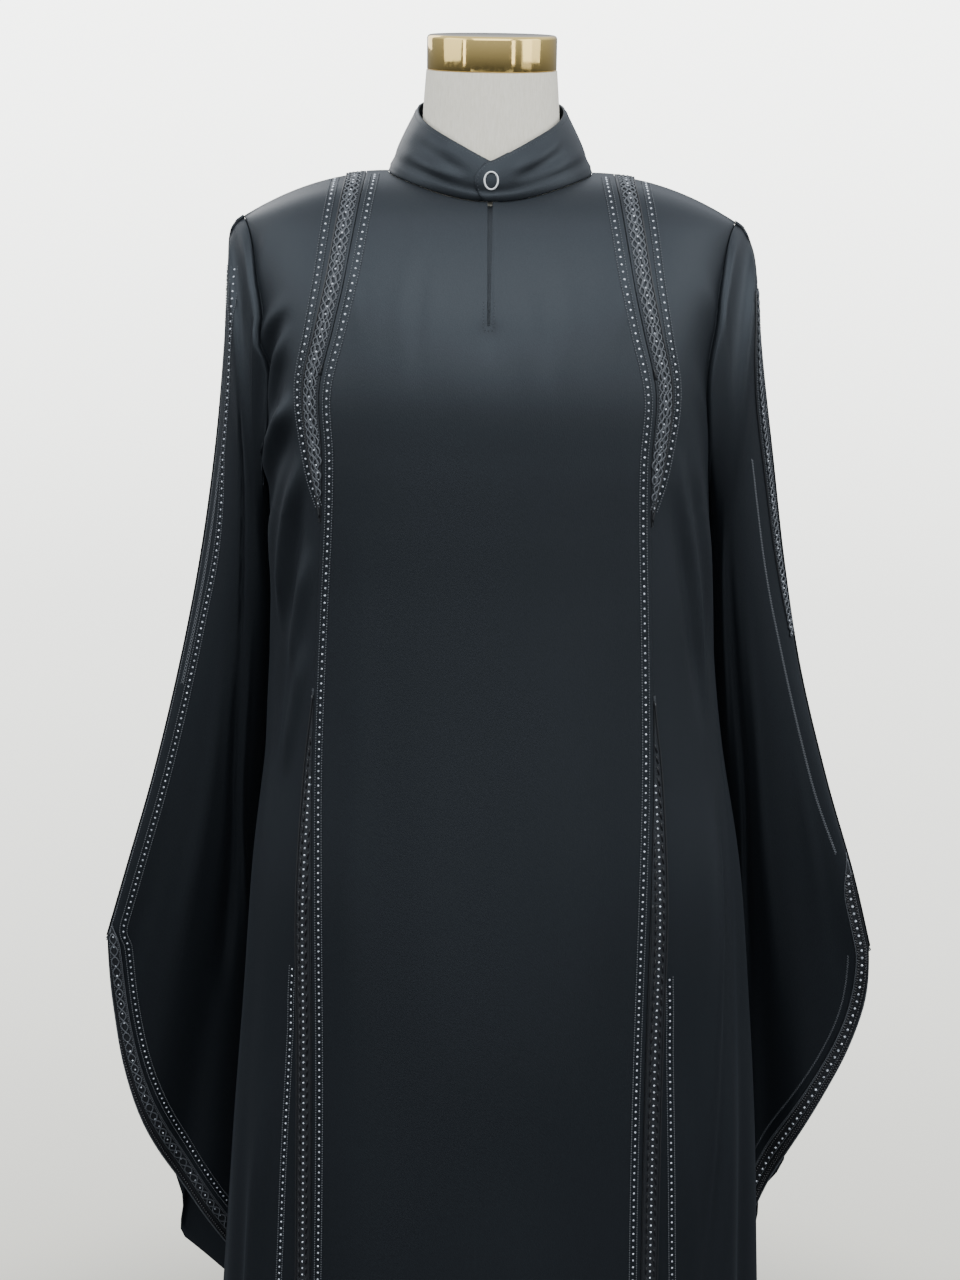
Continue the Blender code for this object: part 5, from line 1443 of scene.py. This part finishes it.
def make_armhole_seam(side, sleeve, material):
    """Seam allowances inside one half of an armhole, along the body's cloth and the sleeve's."""
    rows = np.linspace(UNDERARM + ALLOWANCE_LOW, SHOULDER - ALLOWANCE_HIGH, 64)[:, None]
    edge = armhole_turn(side, rows, sleeve.front)
    gap = np.linalg.norm(body_plain(edge + STEP, rows) - body_plain(edge, rows), axis=-1)
    outward = side_sign(side) * (1 if sleeve.front else -1)
    inwards = np.linspace(-1.0, -0.08, 6) * ALLOWANCE
    turns = edge + outward * inwards * STEP / np.maximum(gap, 1e-9)
    depth = CLOTH + ALLOWANCE_SPACE
    on_body = body_point(turns, rows + 0 * turns, -depth)
    shares = (rows - UNDERARM) / (SHOULDER - UNDERARM)
    steps = np.linspace(0.02, ALLOWANCE_STEP, 5)[None, :]
    points, normals = sleeve.sample(steps + 0 * shares, shares + 0 * steps)
    outer = np.concatenate([on_body, points - normals * depth], axis=1)
    like = np.concatenate([body_normal(turns, rows + 0 * turns), normals], axis=1)
    inner = outer - grid_normals(outer, like) * ALLOWANCE_CLOTH
    name = f"armhole_seam_{'front' if sleeve.front else 'back'}_{side}"
    place(cloth_wall(name, outer, inner, material), "black_crepe")


def make_back_panel(material):
    """Back in one piece, from armhole to armhole."""
    shares = np.sin(np.radians(np.linspace(-90, 90, 41))) * NECK_HALF_WIDTH / SHOULDER_TIP
    base = rows_from(0, SHOULDER)
    blends = np.linspace(0, 1, 25)[:-1]
    ends = np.array([SHOULDER if abs(share) * SHOULDER_TIP >= NECK_HALF_WIDTH - 1e-6
                     else neck_row(share * SHOULDER_TIP, False) for share in shares])
    ends = np.concatenate([np.full(len(blends), SHOULDER), ends, np.full(len(blends), SHOULDER)])
    rows = squeezed_rows(base, ends)
    turns = np.zeros(rows.shape)
    count = len(blends)
    for j, share in enumerate(shares):
        column = rows[:, count + j]
        wide = body_value("right" if share >= 0 else "left", column)
        turns[:, count + j] = turn_at(share * wide, column, front=False)
    for side in SIDES:
        near = turns[:, count if side == "left" else -count - 1]
        edge = armhole_turn(side, base, front=False)
        for k, blend in enumerate(blends):
            turns[:, k if side == "left" else -k - 1] = edge + (near - edge) * blend
    turns[:, count + len(shares) // 2] = 2.0
    item = body_panel("back_panel_cloth", turns, rows, material, seam_y=SEAM / 2)
    place(item, "black_crepe", "back_panel")


def make_body_braid(side, material):
    """Cloth of the braid beside the centre panel, above and below."""
    for name, ends in BRAID_CLOTH_ROWS.items():
        rows = rows_from(*ends)[:, None]
        width = np.maximum(body_value("braid", rows), BRAID_LEAST)
        shares = np.linspace(0, 1, 8)[None, :]
        turns = lap_turn(side, rows + 0 * shares, SEAM + width * shares)
        item = body_panel(f"{name}_braid_cloth_{side}", turns, rows + 0 * turns, material,
                          out=SEAM + BRAID_THICK, thick=BRAID_THICK, seam_y=-SEAM / 2)
        place(item, "black_braid", f"{name}_braid_{side}")


# Collar and snap

def collar_point(angle, height, tuck=0.0):
    """Point on the collar's outer face. angle in degrees from centre front, height 0 to 1."""
    swing = math.radians(angle)
    front = math.cos(swing) >= 0
    x = NECK_HALF_WIDTH * math.sin(swing)
    row = neck_row(x, front)
    around = abs((angle + 180) % 360 - 180)
    over_panel = SEAM * 2 + (CLOTH + SEAM) * (1 - float(smoothstep(*COLLAR_STEP, around)))
    base = body_point(turn_at(x, row, front), row, over_panel)
    if abs(x) > NECK_HALF_WIDTH - 1e-5:
        base[1] = 0.0
    knots = [line.angle for line in COLLAR_TOP]
    top_x, top_y, top_z = (float(curve(knots, [getattr(line, name) for line in COLLAR_TOP], around))
                           for name in ("x_reach", "y_reach", "height"))
    top = np.array([top_x * math.sin(swing), -top_y * math.cos(swing), top_z])
    outward = unit(np.array([math.sin(swing) / NECK_HALF_WIDTH, -math.cos(swing) / NECK_FRONT, 0.0]))
    height = np.asarray(height, float)[..., None]
    belly = COLLAR_BELLY * np.sin(math.pi * height)
    return base + (top - base) * height + outward * (belly - tuck), outward


def collar_tuck(angle):
    """How far the collar moves in at an angle, so that its end passes beneath the lapping one."""
    return (COLLAR_THICK + SEAM * 3) * float(smoothstep(*COLLAR_UNDER, angle)) + SEAM


def collar_turn(angle, height):
    """Angle at which the rounded lapping end lies at a height."""
    bow = COLLAR_ROUND * np.sin(math.pi * np.minimum(np.asarray(height) * 0.92 + 0.08, 1.0))
    return angle - bow * (1 - smoothstep(0.0, 12.0, angle - COLLAR_START))


def make_collar(material):
    heights = np.linspace(-COLLAR_SEAT, 1, 18)
    end = 360.0 + COLLAR_END
    angles = np.concatenate([np.linspace(COLLAR_START, 20, 16), np.linspace(20, 340, 107)[1:-1],
                             np.linspace(340, end, 20)])
    outer = np.zeros((len(heights), len(angles), 3))
    outward = np.zeros(outer.shape)
    for j, angle in enumerate(angles):
        turned = collar_turn(angle, heights)
        if np.ptp(turned) < 1e-9:
            outer[:, j], outward[:, j] = collar_point(float(turned[0]), heights, collar_tuck(angle))
            continue
        for i, height in enumerate(heights):
            outer[i, j], outward[i, j] = collar_point(float(turned[i]), height, collar_tuck(angle))
    around = ((angles + 180) % 360 - 180)[None, :] + 0 * heights[:, None]
    high = heights[:, None] + 0 * around
    away_from_edges = np.sin(math.pi * np.clip(high, 0.0, 1.0)) ** 0.5
    puckers = crease_height(COLLAR_CREASES, around, high, COLLAR_DEGREE, COLLAR_HEIGHT)
    roll = sum(rise * np.exp(-((high - middle) / spread) ** 2) for middle, spread, rise in COLLAR_ROLLS)
    outer += outward * (puckers * away_from_edges + roll)[..., None]
    item = cloth_wall("collar_cloth", outer, outer - outward * COLLAR_THICK, material)
    place(item, "black_crepe", "collar")


def collar_line(angles, heights):
    """Line on the collar's outer face and its outward directions."""
    found = [collar_point(float(collar_turn(angle, height)), float(height), collar_tuck(angle))
             for angle, height in zip(angles, heights)]
    return np.array([pair[0] for pair in found]), np.array([pair[1] for pair in found])


def add_collar_stitches(basket):
    """Rows inside the lapping end, above the neck seam and below the top edge."""
    heights = np.linspace(0.09, 0.93, 40)
    end = np.full(len(heights), COLLAR_START + COLLAR_STITCH_INSET / COLLAR_DEGREE)
    add_stitches(basket, *collar_line(end, heights))
    angles = np.linspace(COLLAR_START + 2.5, 352.0, 240)
    for height in COLLAR_STITCH_HEIGHTS:
        add_stitches(basket, *collar_line(angles, np.full(len(angles), height)))


def make_snap_ring(steel):
    """Open ring of the snap, which shows the cloth inside it."""
    centre, _ = collar_point(SNAP_ANGLE, SNAP_HEIGHT, SEAM - SNAP_WIRE)
    lower, _ = collar_point(SNAP_ANGLE, SNAP_HEIGHT - 0.2, SEAM - SNAP_WIRE)
    up = unit(centre - lower)
    out = unit(np.cross(np.array([1.0, 0.0, 0.0]), up))
    across = np.cross(up, out)
    around, sides = 64, 16
    aside, over = (part[:, None] for part in ring(around))
    radial = (across * aside + up * over)[:, None]
    spine = (centre + across * SNAP_HALF_WIDTH * aside + up * SNAP_HALF_HEIGHT * over)[:, None]
    near, away = (part[None, :, None] for part in ring(sides))
    points = spine + SNAP_WIRE * (radial * near + out * away)
    index = np.arange(around * sides).reshape(around, sides)
    after = np.roll(index, -1, axis=0)
    faces = np.stack([index, np.roll(index, -1, axis=1), np.roll(after, -1, axis=1), after], axis=-1)
    item = new_mesh("snap_ring_wire", points.reshape(-1, 3), faces.reshape(-1, 4).tolist(), steel)
    place(item, "ring_steel", "snap_ring")


# Form and stand

def lathe(name, profile, material, sides):
    """Turned solid from a profile of radius and height, closed on its axis."""
    radius, height = (np.array(column)[:, None] for column in zip(*profile))
    across, ahead = ring(sides)
    points = np.stack([radius * across, radius * ahead, height + 0 * across], axis=-1)
    item = new_mesh(name, points.reshape(-1, 3), tube_faces(len(profile), sides), material)
    item.data.set_sharp_from_angle(angle=math.radians(50))
    return item


def rounded(corner, towards, radius, steps=6):
    """Quarter round of a profile. corner: the sharp corner; towards: signs away from it."""
    angles = np.linspace(0, math.pi / 2, steps)
    return [(corner[0] + towards[0] * radius * (1 - math.cos(angle)),
             corner[1] + towards[1] * radius * (1 - math.sin(angle))) for angle in angles]


def make_form(linen, gold):
    """The form's body and neck, and the cap on it."""
    rows, sides = np.linspace(0, len(FORM) - 1, 111)[:, None], 128
    across, ahead = (part[None, :] for part in ring(sides))
    height, half, front, back, corner = (curve(range(len(FORM)), column, rows) for column in zip(*FORM))
    x = half * np.copysign(np.abs(across) ** (2 / corner), across)
    y = np.where(ahead > 0, back, front) * np.copysign(np.abs(ahead) ** (2 / corner), ahead)
    points = np.stack([x, y, height + 0 * x], axis=-1)
    item = new_mesh("form_linen", points.reshape(-1, 3), tube_faces(len(rows), sides), linen)
    item.data.set_sharp_from_angle(angle=math.radians(60))
    place(item, "linen", "form_torso")
    cap = rounded((CAP_RADIUS, CAP_BOTTOM), (-1, 1), CAP_LOW_ROUND)[::-1]
    cap += rounded((CAP_RADIUS, CAP_TOP), (-1, -1), CAP_TOP_ROUND)
    place(lathe("gold_cap", cap, gold, 160), "gold_cap", "neck_cap")


def make_stand(metal):
    foot, head = BASE_THICK + SEAM, FORM[0].height - SEAM
    pole = [(radius, foot + up) for radius, up in POLE_FOOT]
    pole += [(radius, head - down) for radius, down in POLE_HEAD]
    place(lathe("pole", pole, metal, 64), "stand_metal", "stand_pole")
    base = [(BASE_RADIUS - 0.001, 0.0), (BASE_RADIUS, 0.001), (BASE_RADIUS, BASE_SIDE)]
    base += [(BASE_RADIUS - BASE_ROUND * (1 - math.cos(angle)),
              BASE_SIDE + (BASE_THICK - BASE_SIDE) * math.sin(angle))
             for angle in np.linspace(0.2, math.pi / 2, 8)]
    place(lathe("round_base", base, metal, 160), "stand_metal", "stand_base")


# Materials

COOL_SHINE = (0.80, 0.90, 1.0, 1.0)   # tint of what the black cloth reflects


def set_inputs(node, values):
    for name, value in values.items():
        node.inputs[name].default_value = value


def new_material(name, colour, roughness, metallic=0.0):
    material = bpy.data.materials.new(name)
    material.use_nodes = True
    shader = material.node_tree.nodes["Principled BSDF"]
    set_inputs(shader, {"Base Color": (*colour, 1.0), "Roughness": roughness, "Metallic": metallic})
    return material, material.node_tree, shader


def add_bump(tree, shader, height, strength, distance):
    bump = tree.nodes.new("ShaderNodeBump")
    set_inputs(bump, {"Strength": strength, "Distance": distance})
    tree.links.new(height, bump.inputs["Height"])
    tree.links.new(bump.outputs["Normal"], shader.inputs["Normal"])


def noise(tree, scale, detail=3.0, roughness=0.55, stretch=(1.0, 1.0, 1.0)):
    where = tree.nodes.new("ShaderNodeTexCoord")
    mapping = tree.nodes.new("ShaderNodeMapping")
    mapping.inputs["Scale"].default_value = stretch
    texture = tree.nodes.new("ShaderNodeTexNoise")
    set_inputs(texture, {"Scale": scale, "Detail": detail, "Roughness": roughness})
    tree.links.new(where.outputs["Object"], mapping.inputs["Vector"])
    tree.links.new(mapping.outputs["Vector"], texture.inputs["Vector"])
    return texture.outputs["Fac"]


def ramp(tree, value, stops):
    """Colour ramp of (position, colour) pairs."""
    node = tree.nodes.new("ShaderNodeValToRGB")
    elements = node.color_ramp.elements
    while len(elements) < len(stops):
        elements.new(0.5)
    for element, (position, colour) in zip(elements, stops):
        element.position = position
        element.color = (*colour, 1.0)
    tree.links.new(value, node.inputs["Fac"])
    return node.outputs["Color"]


def crepe_material():
    """Black crepe with a matt satin face."""
    material, tree, shader = new_material("crepe_cloth", (0.005, 0.006, 0.007), 0.44)
    shades = [(0.35, (0.0035, 0.004, 0.005)), (0.65, (0.0065, 0.0075, 0.009))]
    tree.links.new(ramp(tree, noise(tree, 900.0, 2.0), shades), shader.inputs["Base Color"])
    set_inputs(shader, {"Specular IOR Level": 0.5, "Specular Tint": COOL_SHINE, "Sheen Weight": 0.025,
                        "Sheen Roughness": 0.5, "Sheen Tint": (0.72, 0.82, 0.95, 1.0)})
    add_bump(tree, shader, noise(tree, 1400.0, 3.0, 0.6, (1.0, 1.0, 0.45)), 0.35, 0.0004)
    return material


def braid_material():
    """Dense black braid with a faint crosswise rib."""
    material, tree, shader = new_material("braid_cloth", (0.008, 0.008, 0.009), 0.42)
    set_inputs(shader, {"Sheen Weight": 0.10, "Specular Tint": COOL_SHINE})
    add_bump(tree, shader, noise(tree, 900.0, 2.0, 0.5, (0.5, 0.5, 1.6)), 0.6, 0.0006)
    return material


def linen_material():
    material, tree, shader = new_material("linen_cloth", (0.70, 0.66, 0.58), 0.85)
    threads = noise(tree, 700.0, 3.0, 0.6, (1.0, 1.0, 0.18))
    colour = ramp(tree, threads, [(0.3, (0.85, 0.79, 0.65)), (0.7, (0.98, 0.92, 0.78))])
    tree.links.new(colour, shader.inputs["Base Color"])
    shader.inputs["Sheen Weight"].default_value = 0.1
    add_bump(tree, shader, threads, 0.4, 0.0005)
    return material


def plain_material(name, colour, roughness, metallic, grain=300.0, strength=0.05):
    """Shiny or painted material with a faint uneven roughness."""
    material, tree, shader = new_material(name, colour, roughness, metallic)
    spots = noise(tree, grain)
    low, high = max(roughness - 0.04, 0.02), roughness + 0.06
    shade = ramp(tree, spots, [(0.3, (low,) * 3), (0.7, (high,) * 3)])
    tree.links.new(shade, shader.inputs["Roughness"])
    add_bump(tree, shader, spots, strength, 0.0002)
    return material


# Stage

FLOOR_RADIUS = 1.0
FLOOR_SOLID = 0.30          # the floor fades out beyond this distance
WORLD_SEEN = 5.5            # strength of the background that the camera sees
WORLD_PALE = [(0.0, (0.235, 0.235, 0.215)), (0.5, (0.50, 0.505, 0.48)), (1.0, (0.985, 1.0, 0.97))]
WORLD_LOW = -0.52           # its darkest height, as a direction from straight down, -1, to level, 0
# Glow of the room from floor to ceiling, which lights the scene
WORLD_GLOW = [(0.0, (0.010, 0.011, 0.012)), (0.25, (0.012, 0.013, 0.015)), (0.42, (0.110, 0.118, 0.130)),
              (0.50, (0.40, 0.425, 0.465)), (0.58, (0.68, 0.725, 0.79)), (0.75, (1.15, 1.22, 1.32)),
              (1.0, (1.15, 1.22, 1.32))]
CAMERA_SPOT = (-0.0036, -2.01, 1.64)
CAMERA_PITCH = 16.3         # degrees down
CAMERA_ROLL = 0.75
CAMERA_LENS = 66.09


def make_floor():
    """Pale round floor that fades out towards its edge."""
    material, tree, shader = new_material("floor_paint", (0.12, 0.12, 0.125), 0.9)
    colour = ramp(tree, noise(tree, 3.0), [(0.2, (0.11, 0.11, 0.115)), (0.8, (0.13, 0.13, 0.135))])
    tree.links.new(colour, shader.inputs["Base Color"])
    where = tree.nodes.new("ShaderNodeTexCoord")
    reach = tree.nodes.new("ShaderNodeVectorMath")
    reach.operation = "LENGTH"
    fade = tree.nodes.new("ShaderNodeMapRange")
    fade.interpolation_type = "SMOOTHSTEP"
    set_inputs(fade, {"From Min": FLOOR_SOLID, "From Max": FLOOR_RADIUS * 0.98, "To Min": 1.0,
                      "To Max": 0.0})
    tree.links.new(where.outputs["Object"], reach.inputs[0])
    tree.links.new(reach.outputs["Value"], fade.inputs["Value"])
    tree.links.new(fade.outputs["Result"], shader.inputs["Alpha"])
    points = [(FLOOR_RADIUS * x, FLOOR_RADIUS * y, 0.0) for x, y in zip(*ring(96))]
    new_mesh("floor", points, [tuple(range(96))], material, smooth=False)


def make_world():
    """Pale background for the camera, and a separate glow that lights the scene."""
    world = bpy.data.worlds.new("studio")
    world.use_nodes = True
    tree = world.node_tree
    where = tree.nodes.new("ShaderNodeTexCoord")
    parts = tree.nodes.new("ShaderNodeSeparateXYZ")
    tree.links.new(where.outputs["Generated"], parts.inputs["Vector"])

    def shaded(low, high, stops, strength, background):
        height = tree.nodes.new("ShaderNodeMapRange")
        set_inputs(height, {"From Min": low, "From Max": high})
        tree.links.new(parts.outputs["Z"], height.inputs["Value"])
        tree.links.new(ramp(tree, height.outputs["Result"], stops), background.inputs["Color"])
        background.inputs["Strength"].default_value = strength
        return background.outputs["Background"]

    seen = shaded(WORLD_LOW, 0.0, WORLD_PALE, WORLD_SEEN, tree.nodes["Background"])
    light = shaded(-1.0, 1.0, WORLD_GLOW, 1.0, tree.nodes.new("ShaderNodeBackground"))
    path = tree.nodes.new("ShaderNodeLightPath")
    mix = tree.nodes.new("ShaderNodeMixShader")
    tree.links.new(path.outputs["Is Camera Ray"], mix.inputs["Fac"])
    tree.links.new(light, mix.inputs[1])
    tree.links.new(seen, mix.inputs[2])
    tree.links.new(mix.outputs["Shader"], tree.nodes["World Output"].inputs["Surface"])
    bpy.context.scene.world = world


def add_light(name, spot, aim, size, power, colour=(1.0, 1.0, 1.0)):
    """Panel of light. aim: the point that it faces."""
    data = bpy.data.lights.new(name, "AREA")
    data.shape = "RECTANGLE"
    data.size, data.size_y = size
    data.energy = power
    data.color = colour
    item = bpy.data.objects.new(name, data)
    item.location = spot
    away = np.array(aim, float) - np.array(spot, float)
    item.rotation_euler = (math.atan2(math.hypot(away[0], away[1]), -away[2]), 0.0,
                           math.atan2(away[1], away[0]) - math.pi / 2)
    bpy.context.scene.collection.objects.link(item)


def add_camera():
    data = bpy.data.cameras.new("camera")
    data.sensor_fit = "AUTO"
    data.sensor_width = 36.0
    data.lens = CAMERA_LENS
    camera = bpy.data.objects.new("camera", data)
    pitch, roll = math.radians(CAMERA_PITCH), math.radians(CAMERA_ROLL)
    ahead = np.array([0.0, math.cos(pitch), -math.sin(pitch)])
    level_up = np.array([0.0, math.sin(pitch), math.cos(pitch)])
    right = np.array([math.cos(roll), 0.0, 0.0]) + level_up * math.sin(roll)
    up = level_up * math.cos(roll) - np.array([math.sin(roll), 0.0, 0.0])
    axes = Matrix([right.tolist(), up.tolist(), (-ahead).tolist()]).transposed()
    camera.rotation_euler = axes.to_euler()
    camera.location = CAMERA_SPOT
    bpy.context.scene.collection.objects.link(camera)
    bpy.context.scene.camera = camera


crepe = crepe_material()
braid_cloth = braid_material()
linen = linen_material()
gold = plain_material("cap_gold", (0.86, 0.62, 0.22), 0.07, 1.0)
steel = plain_material("ring_metal", (0.82, 0.83, 0.82), 0.34, 0.6)
stand_paint = plain_material("stand_paint", (0.02, 0.02, 0.02), 0.42, 0.0, 500.0, 0.2)
stone = plain_material("stone_glass", (0.62, 0.65, 0.70), 0.20, 0.55)
bead_glass = plain_material("bead_glass", (0.012, 0.012, 0.014), 0.12, 0.0)
cord_thread = plain_material("cord_thread", (0.014, 0.015, 0.017), 0.36, 0.0, 2500.0, 0.4)
glossy_thread = plain_material("glossy_thread", (0.085, 0.091, 0.100), 0.30, 0.0, 2500.0, 0.3)
stitch_thread = plain_material("stitch_thread", (0.050, 0.055, 0.062), 0.45, 0.0, 2500.0, 0.3)

make_form(linen, gold)
make_stand(stand_paint)
make_centre_panel(crepe)
make_slit_facing(braid_cloth)
make_back_panel(crepe)
make_collar(crepe)
make_snap_ring(steel)
for side in SIDES:
    make_side_front(side, crepe)
for side in SIDES:
    make_body_braid(side, braid_cloth)
sleeves = make_sleeves(crepe, braid_cloth)
for side in SIDES:
    for sleeve in sleeves[side]:
        make_armhole_seam(side, sleeve, crepe)
for side in SIDES:
    make_overarm_braid(side, sleeves[side][1], braid_cloth)

basket = Basket(np.random.default_rng(11))
for side in SIDES:
    add_body_trims(basket, side)
    add_sleeve_trims(basket, side, *sleeves[side])
add_slit_stitches(basket)
add_hem_stitches(basket)
add_collar_stitches(basket)
basket.build_copies("rhinestones", stone_shape(8), stone, "black_braid", False)
basket.build_copies("rods", bead_shape(6, 6), bead_glass, "black_braid", True)
basket.build_copies("dotted_cords", bead_shape(5, 3), glossy_thread, "black_braid", True)
basket.build_copies("dark_beads", bead_shape(6, 4), bead_glass, "black_braid", True)
basket.build_copies("stitches", bead_shape(4, 2), stitch_thread, "black_crepe", True)
basket.build_tubes("zigzag_cords", glossy_thread, "black_braid")
basket.build_tubes("braid_cords", cord_thread, "black_braid")

make_floor()
make_world()
add_light("front_panel", (0.0, -2.7, 2.75), (0.0, 0.0, 1.35), (3.6, 1.3), 30.0, (0.93, 0.97, 1.0))
add_light("upper_panel", (0.0, -1.9, 3.6), (0.0, 0.0, 1.40), (3.2, 1.4), 30.0, (0.95, 0.98, 1.0))
add_light("left_panel", (-2.5, -0.7, 2.3), (0.0, 0.0, 1.25), (2.0, 2.2), 23.0, (0.93, 0.97, 1.0))
add_light("right_panel", (2.5, -0.7, 2.3), (0.0, 0.0, 1.25), (2.0, 2.2), 25.0, (0.93, 0.97, 1.0))
add_light("low_panel", (0.0, -2.3, 0.74), (0.0, 0.0, 1.05), (3.6, 0.6), 5.0, (0.95, 0.98, 1.0))
add_light("fill", (2.8, -1.4, 2.0), (0.0, 0.0, 1.2), (1.2, 2.0), 6.0)
add_light("back", (-1.6, 2.4, 2.4), (0.0, 0.0, 1.1), (1.6, 2.0), 24.0)
add_light("left_strip", (-1.5, -1.3, 1.75), (0.0, 0.0, 1.56), (0.16, 0.9), 1.6)
add_light("right_strip", (1.3, -1.7, 1.75), (0.0, 0.0, 1.56), (0.22, 0.9), 1.8)
add_camera()
